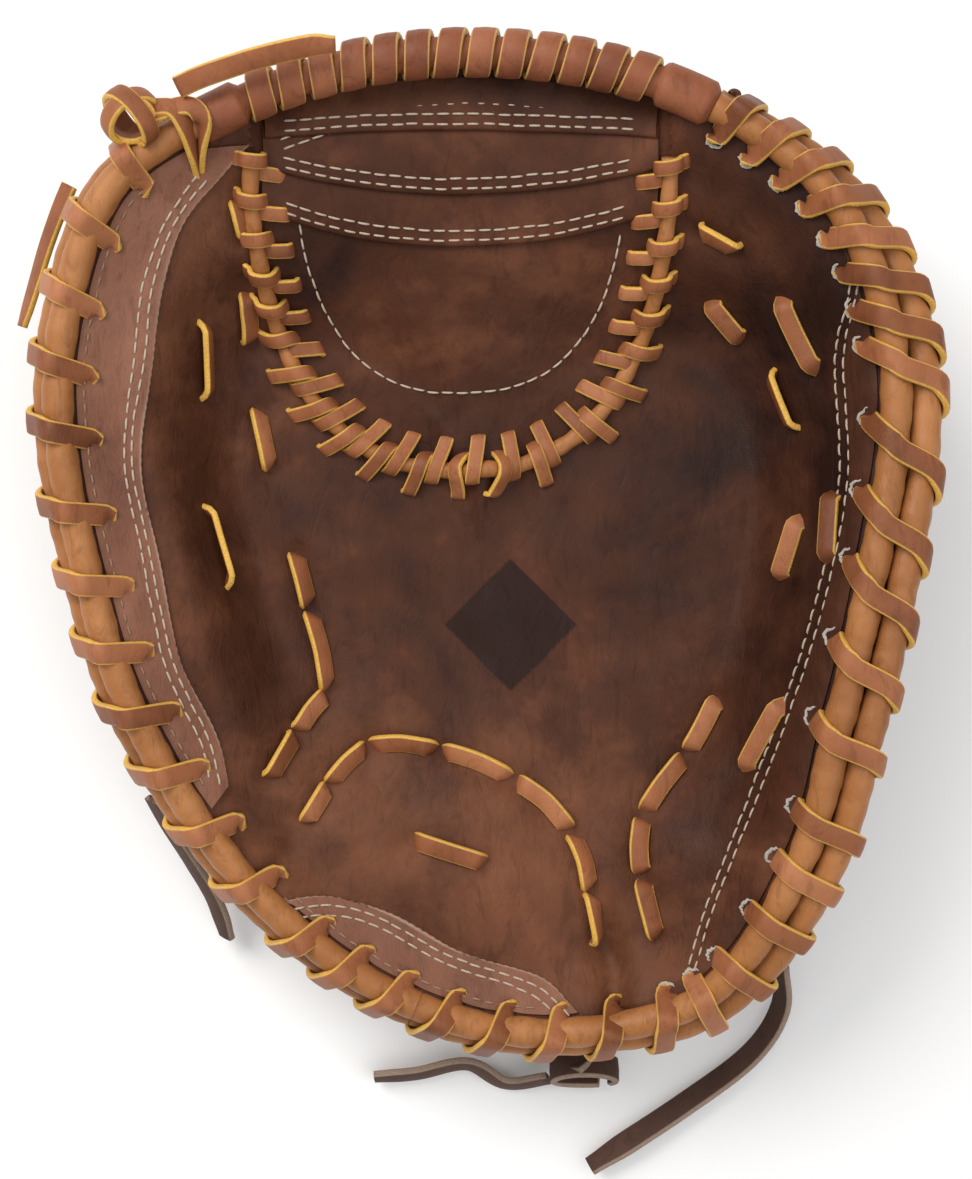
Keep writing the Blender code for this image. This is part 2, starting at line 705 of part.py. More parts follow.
def build_loose_ends(home, finish):
    """The ends of laces and thongs that hang free, each by its points in mm."""
    top = [(-82.5, 125.6, 89.8), (-75, 128.3, 92.2), (-60, 132.5, 95), (-46, 135.5, 96), (-39, 135.8, 96)]
    side = [(-117.5, 104, 61), (-120.5, 97.5, 60), (-124.5, 87, 59), (-128, 76, 58), (-131.8, 64, 57)]
    thumb = [(-97, -74, 37), (-92.5, -84, 31), (-87, -95, 23), (-81.5, -107, 15), (-78.5, -119, 8)]
    long = [(92, -126, 14), (93, -141, 8), (84, -156, 6), (63, -172, 5.5), (34, -191, 5.5)]
    short = [(21, -163, 8), (8, -165, 6), (-4, -159, 6), (-20, -162, 6), (-33, -163, 6)]
    loose_end("lace_tail_top", top, finish["lace"], home, LACE_WIDE, LACE_THICK)
    loose_end("lace_tail_side", side, finish["lace"], home, LACE_WIDE, LACE_THICK)
    loose_end("thong_tail_thumb", thumb, finish["thong"], home, THONG_WIDE, THONG_THICK)
    loose_end("thong_long_end", long, finish["thong"], home, THONG_WIDE, THONG_THICK)
    loose_end("thong_short_end", short, finish["thong"], home, THONG_WIDE, THONG_THICK)
    lump("thong_knot", Vector((33, -160, 12)) * MM, Vector((11, 5, 6)) * MM, finish["thong"], home)


def main():
    clear_scene()
    home = bpy.data.collections.new("catchers_mitt")
    bpy.context.scene.collection.children.link(home)
    finish = {
        "palm": material("dark_brown_leather", (0.095, 0.042, 0.028), 0.6),
        "back": material("brown_leather", (0.13, 0.06, 0.04), 0.6),
        "roll": material("tan_leather", (0.42, 0.19, 0.08), 0.5),
        "lace": material("rawhide_lace", (0.30, 0.13, 0.07), 0.55),
        "thong": material("brown_thong", (0.15, 0.08, 0.055), 0.7),
        "liner": material("lining_leather", (0.33, 0.20, 0.11), 0.8),
        "felt": material("wool_felt", (0.55, 0.52, 0.46), 0.95),
        "fleece": material("fleece", (0.75, 0.69, 0.55), 1.0),
        "steel": material("nickel_steel", (0.62, 0.61, 0.58), 0.3, 1.0),
    }
    build_palm_body(home, finish)
    build_heel_rim(home, finish)
    build_web(home, finish)
    build_center_laces(home, finish)
    build_thumb_side(home, finish)
    build_finger_side(home, finish)
    build_strap(home, finish)
    build_loose_ends(home, finish)


main()
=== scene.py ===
"""The looks of a baseball catcher's mitt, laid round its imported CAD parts.

Shapes are worked out in millimetres, on the same form as the CAD: a rim given round the pocket by angle,
and a palm that dips inside it. make() turns them into metres. The form's table, the creases and the free
ends repeat the CAD's own by value. The mitt folds at a crease on each side of the pocket, so every piece
that is laid over the palm is made in two halves: the half at -X bends between the palm and the thumb side,
and the half at +X between the palm and the finger side.
"""

import json
import math

import bpy
import numpy as np
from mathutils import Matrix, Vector

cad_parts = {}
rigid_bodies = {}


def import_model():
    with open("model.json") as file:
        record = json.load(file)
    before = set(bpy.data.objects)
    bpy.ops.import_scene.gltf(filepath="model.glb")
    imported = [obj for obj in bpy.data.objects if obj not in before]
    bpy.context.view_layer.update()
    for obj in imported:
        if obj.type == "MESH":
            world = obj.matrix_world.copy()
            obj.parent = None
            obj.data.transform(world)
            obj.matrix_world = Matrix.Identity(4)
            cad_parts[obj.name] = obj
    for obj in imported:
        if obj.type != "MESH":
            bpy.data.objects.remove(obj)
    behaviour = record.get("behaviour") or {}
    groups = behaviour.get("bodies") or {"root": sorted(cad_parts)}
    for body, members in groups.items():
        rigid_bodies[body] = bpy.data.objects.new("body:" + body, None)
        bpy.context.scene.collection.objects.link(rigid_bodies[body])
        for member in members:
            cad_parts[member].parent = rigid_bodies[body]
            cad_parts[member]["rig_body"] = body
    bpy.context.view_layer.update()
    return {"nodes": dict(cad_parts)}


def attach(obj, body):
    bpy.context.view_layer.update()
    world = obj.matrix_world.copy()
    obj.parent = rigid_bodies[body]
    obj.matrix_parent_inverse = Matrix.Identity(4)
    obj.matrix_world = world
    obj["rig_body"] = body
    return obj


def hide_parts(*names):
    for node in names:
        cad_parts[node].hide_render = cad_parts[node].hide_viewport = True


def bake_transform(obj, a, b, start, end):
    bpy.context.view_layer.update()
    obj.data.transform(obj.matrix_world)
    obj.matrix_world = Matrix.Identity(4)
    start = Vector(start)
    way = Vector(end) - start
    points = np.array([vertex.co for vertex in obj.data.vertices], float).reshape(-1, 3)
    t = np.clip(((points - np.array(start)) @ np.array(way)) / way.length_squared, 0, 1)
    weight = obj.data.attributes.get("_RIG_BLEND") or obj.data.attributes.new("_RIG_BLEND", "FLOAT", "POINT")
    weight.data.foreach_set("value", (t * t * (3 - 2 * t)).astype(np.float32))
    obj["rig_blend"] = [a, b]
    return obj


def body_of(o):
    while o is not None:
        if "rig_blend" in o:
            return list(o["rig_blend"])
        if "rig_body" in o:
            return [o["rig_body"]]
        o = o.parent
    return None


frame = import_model()

MM = 0.001

# One row an angle: degrees from +X, the rim's radius and height, where the pocket's wall starts and ends
# as shares of the radius, and how far the outer rim roll hangs below the inner one, in degrees.
FORM = np.array(
    [
        (0, 109.0, 88, 0.70, 0.97, 8),
        (30, 128.5, 88, 0.66, 0.96, 25),
        (45, 136.5, 87, 0.60, 0.94, 50),
        (60, 138.0, 83, 0.42, 0.96, 70),
        (90, 137.0, 82, 0.14, 1.02, 70),
        (120, 140.5, 80.5, 0.42, 0.94, 70),
        (135, 143.5, 80, 0.58, 0.88, 66),
        (150, 133.0, 78, 0.60, 0.84, 64),
        (180, 111.5, 75.5, 0.58, 0.78, 62),
        (205, 108.0, 70.5, 0.58, 0.80, 62),
        (225, 112.0, 63.5, 0.58, 0.86, 64),
        (245, 122.0, 58.5, 0.48, 0.88, 66),
        (270, 137.4, 56, 0.40, 0.88, 66),
        (285, 143.0, 56, 0.44, 0.90, 62),
        (297, 143.0, 61.5, 0.50, 0.94, 45),
        (315, 126.0, 75, 0.66, 0.96, 15),
        (335, 110.0, 83.5, 0.70, 0.97, 5),
    ]
)
RADIUS, HEIGHT, WALL_FOOT, WALL_TOP, ROLL_HANG = range(1, 6)

POCKET_FLOOR = 38
POCKET_BOWL = 4
RIM_DROP = 9  # from a rim roll's centre down to the palm leather's edge
HEEL_MOUND = (-7, -88, 6)  # the middle of the heel pad, and its height
HEEL_MOUND_SIZE = (34, 26)
PALM_INSET = 3.4  # how far inside the inner roll's centre line the palm leather ends
OVERLAY_INSET = 4.6
LIP_HEIGHT, LIP_REACH = 6.4, 17  # how high the leather turns up at the rim, and over what width
TIE_GROOVE_HALF = 6
HOLE_DENT_AREA = 7
# Soft waves in the leather: each one's direction in radians, length and height.
LEATHER_WAVES = ((0.3, 31, 0.22), (1.2, 23, 0.18), (2.1, 41, 0.25), (2.8, 17, 0.10), (0.9, 12, 0.06))

ROLL_RADIUS = 4.3
ROLL_SPACING = 8.9
LACE_WIDE = 6.2
LACE_THICK = 2.0
BAR_RADIUS = 6.0
SEAM_CORD_RADIUS = 2.4
THONG_WIDE = 8
THONG_THICK = 2.2
BACK_REACH = 5.0
BACK_SEAMS = (0.40, 0.68)

# The creases in plan, from the heel to the web, and how far to each side the leather bends.
THUMB_CREASE = np.array([(-55, -95), (-71, 113)], float)
FINGER_CREASE = np.array([(37, -134), (59.8, 113)], float)
BEND_REACH = 13

# Rim angles at which the rolls and the bar start and end.
THUMB_ROLL = (262, 122)
FINGER_ROLL = (262, 422)
WEB_RIM = (119, 64)

WEB_CENTRE = np.array([-5.5, 110.0])
WEB_HALF = np.array([59.0, 86.0])
WEB_POWER = 2.4

# The rim lace at a few of its wraps: the wrap's number, the rim angle of its hole in the palm leather, how
# many degrees further on it rounds the outer roll, and how far inside the rim the hole is. Those between are
# spread evenly.
WRAPS = np.array(
    [
        (0, 133, -2, 7),
        (4, 166, -5, 9),
        (8, 208, -8, 10),
        (12, 247, -5, 7),
        (19, 293, -4, 6),
        (21, 301, 1, 6),
        (24, 322, -3, 6),
        (27, 358, -11, 6),
        (30, 387, -9, 7),
        (37, 420, -3, 7),
    ]
)

# Laces that tie the palm leather to its pads. A chain follows a curve, one run after another, and has its
# runs' lengths. A lone tie has its middle in plan, its heading in degrees and its length.
TIE_GAP = 1.5
TIE_CHAINS = {
    "heel": (
        [(-51, -80), (-42, -66), (-30, -57), (-5, -61), (18, -73), (30, -90), (34, -116)],
        (12, 15, 20, 22, 22, 17, 15),
    ),
    "pocket": ([(-55, 0), (-50, -20), (-45, -40), (-52, -50), (-62, -67)], (17, 25, 14, 15)),
    "finger": ([(71, -43), (62, -59), (48, -78), (48, -96), (52, -114)], (18, 20, 16, 17)),
}
LONE_TIES = [
    (-80, 55, -90, 23),
    (-68, 68, -92, 14),
    (-64, 33, -78, 18),
    (-76, 1, -74, 25),
    (-68, 94, -76, 8),
    (-9, -88, -18, 23),
    (90, 0, -106, 19),
    (99, 6, -95, 21),
    (82, -54, -115, 24),
    (88, 43, -69, 19),
    (91, 61, -64, 25),
    (68, 88, -29, 12),
    (72, 67, -48, 15),
]

# Edges laid along the rim: rim angles, and how far inside the rim the edge is there.
THUMB_OVERLAY = [
    (120, 10), (131, 19), (140, 24), (150, 26), (165, 22), (180, 20), (200, 17), (216, 16), (223, 12),
]
THUMB_OVERLAY_RIM = (126, 223.5)
HEEL_OVERLAY = [(240, 0), (242, 6), (248, 15), (256, 20), (266, 19), (275, 17), (279, 13), (282, 5)]
HEEL_OVERLAY_RIM = (240, 281)
FINGER_SEAM = [
    (38, 0), (33, 7), (28, 12), (10, 10), (-12, 10), (-34, 14), (-50, 17), (-58, 14), (-63, 7), (-66, 0),
]

# The web's reinforcing bands: where each lower edge is in Y in its middle, and how much further at its ends.
WEB_BANDS = [(87, 10), (101, 7), (118, -3)]
WEB_BAND_TOP = (129, -7)
WEB_STITCH_INSET = (-12, -22)

# How far along the web's seam its lacing leans, at some shares of the seam.
SEAM_LEAN_AT = (0, 0.15, 0.3, 0.45, 0.6, 0.72, 1)
SEAM_LEAN = (2, 3.5, 7, 6, 1.5, -4.5, -3)

# Folds pressed into the palm leather: plan points, depth and half width.
FOLDS = [
    ([(40, -137), (39, -124), (37, -110), (35, -96)], 4.5, 4.5),
    ([(-66, -84), (-58, -80), (-53, -70)], 1.6, 4.0),
    ([(-62, -95), (-56, -88), (-52, -78)], 1.6, 3.5),
    ([(43, -112), (45, -96), (46, -78)], 1.2, 4.0),
]

# A plain dark diamond in the pocket: its middle, and half its width.
MARK = (9, -22)
MARK_HALF = 20

# The free ends of laces and thongs, point by point as the CAD lays them.
FREE_ENDS = {
    "lace_tail_top": [
        (-82.5, 125.6, 89.8), (-75, 128.3, 92.2), (-60, 132.5, 95), (-46, 135.5, 96), (-39, 135.8, 96),
    ],
    "lace_tail_side": [
        (-117.5, 104, 61), (-120.5, 97.5, 60), (-124.5, 87, 59), (-128, 76, 58), (-131.8, 64, 57),
    ],
    "thong_tail_thumb": [
        (-97, -74, 37), (-92.5, -84, 31), (-87, -95, 23), (-81.5, -107, 15), (-78.5, -119, 8),
    ],
    "thong_long_end": [(92, -126, 14), (93, -141, 8), (84, -156, 6), (63, -172, 5.5), (34, -191, 5.5)],
    "thong_short_end": [(21, -163, 8), (8, -165, 6), (-4, -159, 6), (-20, -162, 6), (-33, -163, 6)],
}

random = np.random.default_rng(7)


# ---------------------------------------------------------------- the form


def smooth(share):
    share = np.clip(share, 0, 1)
    return share * share * (3 - 2 * share)


def form(angle, column):
    """A column of the table at any angle in degrees, on a smooth closed curve through its rows."""
    angle = np.asarray(angle, float) % 360
    count = len(FORM)
    after = np.searchsorted(FORM[:, 0], angle, side="right")

    def row(i):
        turns, index = np.divmod(i, count)
        return FORM[index, 0] + 360 * turns, FORM[index, column]

    (a0, v0), (a1, v1), (a2, v2), (a3, v3) = (row(after + k) for k in (-2, -1, 0, 1))
    t = (angle - a1) / (a2 - a1)
    slope1 = (v2 - v0) / (a2 - a0) * (a2 - a1)
    slope2 = (v3 - v1) / (a3 - a1) * (a2 - a1)
    return (
        v1 * (2 * t**3 - 3 * t**2 + 1)
        + slope1 * (t**3 - 2 * t**2 + t)
        + v2 * (3 * t**2 - 2 * t**3)
        + slope2 * (t**3 - t**2)
    )


def unit(vectors):
    return vectors / np.maximum(np.linalg.norm(vectors, axis=-1, keepdims=True), 1e-9)


def on_rim_circle(angle):
    turn = np.radians(angle)
    return np.stack([np.cos(turn), np.sin(turn), np.zeros_like(turn)], -1) * form(angle, RADIUS)[..., None]


def rim(angle, out=0.0, up=0.0):
    """Points on the inner roll's centre line, moved square to the rim in plan, and upwards."""
    angle = np.asarray(angle, float)
    along = on_rim_circle(angle + 1) - on_rim_circle(angle - 1)
    square = unit(np.stack([along[..., 1], -along[..., 0], np.zeros_like(angle)], -1))
    place = on_rim_circle(angle) + square * np.asarray(out, float)[..., None]
    place[..., 2] = form(angle, HEIGHT) + up
    return place


def outer_roll(angle):
    hang = np.radians(form(angle, ROLL_HANG))
    return rim(angle, ROLL_SPACING * np.cos(hang), -ROLL_SPACING * np.sin(hang))


def roll_frame(angle):
    """Across the two rolls from the inner to the outer, and up out of the flat over them."""
    across = unit(outer_roll(angle) - rim(angle))
    along = unit(rim(angle + 1) - rim(angle - 1))
    up = unit(np.cross(across, along))
    return across, np.where(up[..., 2:] < 0, -up, up)


def line_distance(x, y, line):
    """Distance in plan to a line of points, and the share of the line at the nearest place."""
    line = np.asarray(line, float)[:, :2]
    best, share = np.full(np.shape(x), 1e9), np.zeros(np.shape(x))
    for index, (a, b) in enumerate(zip(line, line[1:])):
        step = b - a
        t = np.clip(((x - a[0]) * step[0] + (y - a[1]) * step[1]) / (step @ step), 0, 1)
        far = np.hypot(x - a[0] - t * step[0], y - a[1] - t * step[1])
        share = np.where(far < best, (index + t) / (len(line) - 1), share)
        best = np.minimum(best, far)
    return best, share


def wrap_rows():
    """Every wrap of the rim lace: hole angle, degrees to its outer end, and inset of the hole."""
    number = np.arange(int(WRAPS[-1, 0]) + 1)
    return [np.interp(number, WRAPS[:, 0], WRAPS[:, column]) for column in (1, 2, 3)]


def hole_points():
    angle, _, inset = wrap_rows()
    return rim(angle, -inset)[:, :2]


def relief(x, y):
    """What the leather adds to the form: the lip at the rim, dents round the laces, folds and waves."""
    angle = np.degrees(np.arctan2(y, x))
    inside = form(angle, RADIUS) - np.hypot(x, y)
    web = smooth((y - 96) / 12) * smooth((62 - np.abs(x - WEB_CENTRE[0])) / 10)
    height = LIP_HEIGHT * (1 - smooth((inside - 2.5) / LIP_REACH)) * (1 - web)
    groove, dent = np.zeros(np.shape(x)), np.zeros(np.shape(x))
    for run in TIES:
        groove = np.maximum(groove, np.exp(-((line_distance(x, y, run)[0] / TIE_GROOVE_HALF) ** 2)))
        for end in (run[0], run[-1]):
            dent = np.maximum(dent, np.exp(-((x - end[0]) ** 2 + (y - end[1]) ** 2) / HOLE_DENT_AREA))
    for hole in hole_points():
        dent = np.maximum(dent, np.exp(-((x - hole[0]) ** 2 + (y - hole[1]) ** 2) / HOLE_DENT_AREA))
    height -= 1.5 * groove + 0.9 * dent
    for line, depth, half_width in FOLDS:
        far, share = line_distance(x, y, line)
        height -= depth * np.exp(-((far / half_width) ** 2)) * smooth(1.6 * (1 - share) + 0.1)
    for turn, wave, size in LEATHER_WAVES:
        along = x * math.cos(turn) + y * math.sin(turn)
        height += size * np.sin(along * 2 * math.pi / wave + 5 * turn)
    return height


def plain_height(x, y):
    angle = np.degrees(np.arctan2(y, x))
    share = np.hypot(x, y) / form(angle, RADIUS)
    foot, top = form(angle, WALL_FOOT), form(angle, WALL_TOP)
    wall = form(angle, HEIGHT) - RIM_DROP - (POCKET_FLOOR + POCKET_BOWL)
    wall = wall * smooth((share - foot) / (top - foot))
    across = (x - HEEL_MOUND[0]) / HEEL_MOUND_SIZE[0]
    along = (y - HEEL_MOUND[1]) / HEEL_MOUND_SIZE[1]
    mound = HEEL_MOUND[2] * np.exp(-(across**2) - along**2)
    return POCKET_FLOOR + POCKET_BOWL * np.minimum(share / foot, 1) ** 2 + wall + mound


def skin(x, y):
    """Height of the palm leather's upper face."""
    return plain_height(x, y) + relief(x, y)


def on_skin(plan, lift=0.0):
    """Points on the leather over plan points, and the way the leather faces there."""
    plan = np.asarray(plan, float)
    x, y = plan[..., 0], plan[..., 1]
    z = skin(x, y)
    slope_x, slope_y = (skin(x - 1, y) - skin(x + 1, y)) / 2, (skin(x, y - 1) - skin(x, y + 1)) / 2
    face = unit(np.stack([slope_x, slope_y, z * 0 + 1], -1))
    return np.stack([x, y, z], -1) + face * np.asarray(lift, float)[..., None], face


def web_edge(share, grow=0.0):
    """The web's outline from its thumb end round to its finger end, grown by one size or by one each way."""
    turn = np.radians(180 - 180 * np.asarray(share, float))
    c, s = np.cos(turn), np.sin(turn)
    wide, deep = WEB_HALF + grow
    x = WEB_CENTRE[0] + wide * np.copysign(np.abs(c) ** (2 / WEB_POWER), c)
    y = WEB_CENTRE[1] - deep * np.abs(s) ** (2 / WEB_POWER)
    return np.stack([x, y], -1)


def web_band_edge(middle, rise):
    """The lower edge of a band of the web: a parabola from one side of the web to the other."""
    x = WEB_CENTRE[0] + np.linspace(-WEB_HALF[0] + 3, WEB_HALF[0] - 3, 9)
    return np.stack([x, middle + rise * ((x - WEB_CENTRE[0]) / WEB_HALF[0]) ** 2], -1)


def inside_rim(rows):
    """Plan points of an edge that is given by how far inside the rim it lies."""
    angle, inset = np.array(rows, float).T
    return on_rim_circle(angle)[:, :2] * (1 - inset / form(angle, RADIUS))[:, None]


def tie_runs():
    """The ends and the middle of every tie lace that shows, in plan."""
    runs = []
    for guide, lengths in TIE_CHAINS.values():
        curve = resample(guide, 200)
        ends = np.concatenate([[0], np.cumsum(lengths)]) / sum(lengths)
        trim = TIE_GAP / 2 / sum(lengths)
        for start, end in zip(ends, ends[1:]):
            at = np.linspace(start + trim, end - trim, 3) * 199
            runs.append(read_off(curve, np.arange(200), at))
    for x, y, heading, length in LONE_TIES:
        turn = math.radians(heading)
        ahead = np.array([math.cos(turn), math.sin(turn)]) * length / 2
        runs.append(np.array([(x, y)]) + np.array([[-1], [0], [1]]) * ahead)
    return runs


def in_web(x, y, grow):
    wide, deep = WEB_HALF[0] + grow, WEB_HALF[1] + grow
    below = np.clip((WEB_CENTRE[1] - y) / deep, 0, None)
    return (np.abs((x - WEB_CENTRE[0]) / wide)) ** WEB_POWER + below**WEB_POWER < 1


def run_of(line):
    """How far along a line each of its points is."""
    return np.concatenate([[0], np.cumsum(np.linalg.norm(np.diff(line, axis=0), axis=1))])


def read_off(values, run, at):
    """Values that belong to places along a line, read off at other places."""
    return np.stack([np.interp(at, run, values[:, k]) for k in range(values.shape[1])], -1)


def resample(points, count=None, step=None, pieces=12):
    """Evenly spaced points on a smooth curve through the given ones."""
    p = np.asarray(points, float)
    line = np.vstack([2 * p[0] - p[1], p, 2 * p[-1] - p[-2]])
    found = []
    for a, b, c, d in zip(line, line[1:], line[2:], line[3:]):
        t = (np.arange(pieces) / pieces)[:, None]
        bend, twist = 2 * a - 5 * b + 4 * c - d, 3 * b - a - 3 * c + d
        found.append(0.5 * (2 * b + (c - a) * t + bend * t**2 + twist * t**3))
    curve = np.vstack([*found, p[-1:]])
    run = run_of(curve)
    if count is None:
        count = max(int(round(run[-1] / step)) + 1, 2)
    return read_off(curve, run, np.linspace(0, run[-1], count))


TIES = tie_runs()


def shifted(plan, aside):
    """A plan line moved to the left of its run."""
    along = unit(np.gradient(plan, axis=0))
    return plan + np.stack([-along[:, 1], along[:, 0]], -1) * aside


# ---------------------------------------------------------------- meshes


class Batch:
    """Surfaces that share a material, kept apart until they are made into pieces."""

    def __init__(self):
        self.parts = []

    def add(self, verts, faces, edge=None, tone=None):
        edge = np.zeros(len(verts)) if edge is None else edge
        tone = np.full(len(verts), random.random() if tone is None else tone)
        self.parts.append((verts, faces, edge, tone))

    def joined(self, parts):
        verts, faces, edges, tones, start = [], [], [], [], 0
        for v, f, e, t in parts:
            verts.append(v)
            faces += [[i + start for i in face] for face in f]
            edges.append(e)
            tones.append(t)
            start += len(v)
        return np.vstack(verts), faces, np.concatenate(edges), np.concatenate(tones)


def grid_faces(rows, columns, close_columns=False, flip=False):
    i, j = np.meshgrid(np.arange(columns if close_columns else columns - 1), np.arange(rows - 1))
    i, below = i.ravel(), j.ravel() * columns
    right, above = (i + 1) % columns, below + columns
    quads = np.stack([below + i, below + right, above + right, above + i], -1)
    return (quads[:, ::-1] if flip else quads).tolist()


def make(name, verts, faces, edge, tone, finish, normals=None):
    mesh = bpy.data.meshes.new(name)
    mesh.from_pydata((verts * MM).tolist(), [], faces)
    for key, values in (("edge", edge), ("tone", tone)):
        mesh.attributes.new(key, "FLOAT", "POINT").data.foreach_set("value", values.astype(np.float32))
    mesh.shade_smooth()
    if normals is not None:
        mesh.normals_split_custom_set_from_vertices(normals)
    mesh.materials.append(finish)
    obj = bpy.data.objects.new(name, mesh)
    bpy.context.scene.collection.objects.link(obj)
    return obj


def vertex_normals(verts, faces):
    mesh = bpy.data.meshes.new("scratch")
    mesh.from_pydata(verts.tolist(), [], faces)
    found = np.zeros(len(verts) * 3, np.float32)
    mesh.vertex_normals.foreach_get("vector", found)
    bpy.data.meshes.remove(mesh)
    return found.reshape(-1, 3)


def faced(verts, faces, looks=(0, 0, 1)):
    """The faces, all turned round if on the whole they look against the given way, or ways."""
    against = (vertex_normals(verts, faces) * looks).sum() < 0
    return [face[::-1] for face in faces] if against else faces


def capped_tube(line, side, up, radius, section):
    """The points and faces of a tube round a line, closed at both ends."""
    rings = line[:, None] + radius[:, None, None] * (
        side[:, None] * section[None, :, :1] + up[:, None] * section[None, :, 1:]
    )
    verts = rings.reshape(-1, 3)
    faces = grid_faces(len(line), len(section), close_columns=True)
    faces.append(list(range(len(section))))
    faces.append(list(range(len(verts) - len(section), len(verts))))
    return verts, faced(verts, faces, verts - line.repeat(len(section), axis=0))


def thicken(obj, thickness, offset=0):
    solid = obj.modifiers.new("thickness", "SOLIDIFY")
    solid.thickness = thickness * MM
    solid.offset = offset


def kept(verts, faces, edge, tone, normals, wanted):
    """The part of a mesh that the wanted faces use."""
    faces = [face for face, keep in zip(faces, wanted) if keep]
    used = np.unique(np.concatenate([np.asarray(face) for face in faces]))
    index = np.full(len(verts), -1)
    index[used] = np.arange(len(used))
    faces = [index[face].tolist() for face in faces]
    return verts[used], faces, edge[used], tone[used], normals[used]


def bend_ends(crease, side):
    """Where a bend about a crease starts and ends, in metres."""
    middle, along = crease.mean(axis=0), unit(crease[1] - crease[0])
    square = np.array([along[1], -along[0]]) * side
    start, end = middle - square * BEND_REACH, middle + square * BEND_REACH
    return (*start * MM, 0.05), (*end * MM, 0.05)


def bend_left(obj):
    start, end = bend_ends(THUMB_CREASE, -1)
    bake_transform(obj, "palm", "thumb_side", start=start, end=end)
    return obj


def bend_right(obj):
    start, end = bend_ends(FINGER_CREASE, 1)
    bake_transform(obj, "palm", "finger_side", start=start, end=end)
    return obj


def halves(name, batch, finish, whole=True, replaces=((), ())):
    """Two pieces from a batch: its -X half bends with the thumb side and its +X half with the finger side.
    Parts stay whole, or with whole False are cut along x = 0, with one set of normals so that the cut
    doesn't show."""
    sides = []
    if whole:
        for sign in (-1, 1):
            parts = [part for part in batch.parts if (part[0][:, 0].mean() >= 0) == (sign > 0)]
            if parts:
                verts, faces, edge, tone = batch.joined(parts)
                sides.append((sign, (verts, faces, edge, tone, None)))
    else:
        verts, faces, edge, tone = batch.joined(batch.parts)
        normals = vertex_normals(verts, faces)
        middle = np.array([verts[face, 0].mean() for face in faces])
        for sign in (-1, 1):
            sides.append((sign, kept(verts, faces, edge, tone, normals, (middle >= 0) == (sign > 0))))
    made = []
    for sign, (verts, faces, edge, tone, normals) in sides:
        obj = make(f"{name}_{'thumb' if sign < 0 else 'finger'}", verts, faces, edge, tone, finish, normals)
        nodes = replaces[0 if sign < 0 else 1]
        if nodes:
            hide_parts(*nodes)
        made.append((bend_left if sign < 0 else bend_right)(obj))
    return made


def single(name, batch, finish, nodes=()):
    """One piece from a batch, in the place of some CAD nodes."""
    obj = make(name, *batch.joined(batch.parts), finish)
    if nodes:
        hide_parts(*nodes)
    return obj


def lace_section(wide, thick, corner=0.55):
    """A flat lace's outline: across and deep, and 1 where it is the cut edge."""
    points = []
    for sx, sy, start in ((1, 1, 0), (-1, 1, 90), (-1, -1, 180), (1, -1, 270)):
        for turn in (start, start + 45, start + 90):
            a = math.radians(turn)
            x = sx * (wide / 2 - corner) + corner * math.cos(a)
            y = sy * (thick / 2 - corner) + corner * math.sin(a)
            points.append((x, y))
        if start in (0, 180):
            points.append((0, sy * (thick / 2 + 0.18)))
    section = np.array(points)
    return section, (np.abs(section[:, 0]) > wide / 2 - corner * 0.7).astype(float)


def sweep(batch, points, facing, section, cut, tone=None, scale=None):
    """Adds a section swept along points. facing is the way its flat side looks."""
    ahead = unit(np.gradient(points, axis=0))
    across = unit(np.cross(ahead, facing))
    deep = np.cross(across, ahead)
    scale = np.ones((len(points), 2)) if scale is None else scale
    rings = (
        points[:, None]
        + across[:, None] * (section[None, :, :1] * scale[:, None, :1])
        + deep[:, None] * (section[None, :, 1:] * scale[:, None, 1:])
    )
    count, around = len(points), len(section)
    faces = grid_faces(count, around, close_columns=True, flip=True)
    faces.append(list(range(around)))
    faces.append(list(range((count - 1) * around, count * around))[::-1])
    edge = np.tile(cut, count).astype(float)
    batch.add(rings.reshape(-1, 3), faces, edge, tone)


def ring_section(around):
    turn = np.arange(around) * 2 * np.pi / around
    return np.stack([np.cos(turn), np.sin(turn)], -1), np.zeros(around)


LACE_SECTION = lace_section(LACE_WIDE, LACE_THICK)


def stitch_run(batch, line, face, length=3.6, pitch=4.3, radius=0.34):
    """A run of stitches along a line that lies on a surface, with the way the surface faces."""
    run = run_of(line)
    section, cut = ring_section(7)
    profile = np.array([0.35, 0.9, 1.0, 1.0, 0.9, 0.35])
    height = np.array([-0.3, 0.1, 0.2, 0.2, 0.1, -0.3])[:, None]
    along = np.array([0, 0.14, 0.38, 0.62, 0.86, 1.0]) * length
    for start in np.arange(0.6, run[-1] - length, pitch):
        at = start + along + random.uniform(-0.2, 0.2)
        place, looks = read_off(line, run, at), read_off(face, run, at)
        place[:, :2] += unit(np.array([[random.normal(), random.normal()]])) * 0.12
        scale = np.stack([profile, profile], -1)
        sweep(batch, place + looks * height, looks, section * radius, cut, scale=scale)


def stitches(batch, plan, lift=0.0, length=3.6, pitch=4.3, radius=0.34):
    """A run of stitches that lie on the palm leather along a plan line."""
    line, face = on_skin(resample(plan, step=0.5, pieces=8), lift)
    stitch_run(batch, line, face, length, pitch, radius)


# ---------------------------------------------------------------- materials


def node(tree, kind, **inputs):
    made = tree.nodes.new(kind)
    for key, value in inputs.items():
        made.inputs[key.replace("_", " ")].default_value = value
    return made


def colour_ramp(tree, source, stops):
    ramp = tree.nodes.new("ShaderNodeValToRGB")
    while len(ramp.color_ramp.elements) < len(stops):
        ramp.color_ramp.elements.new(0.5)
    for element, (position, colour) in zip(ramp.color_ramp.elements, stops):
        element.position = position
        element.color = (*colour, 1)
    tree.links.new(source, ramp.inputs[0])
    return ramp.outputs[0]


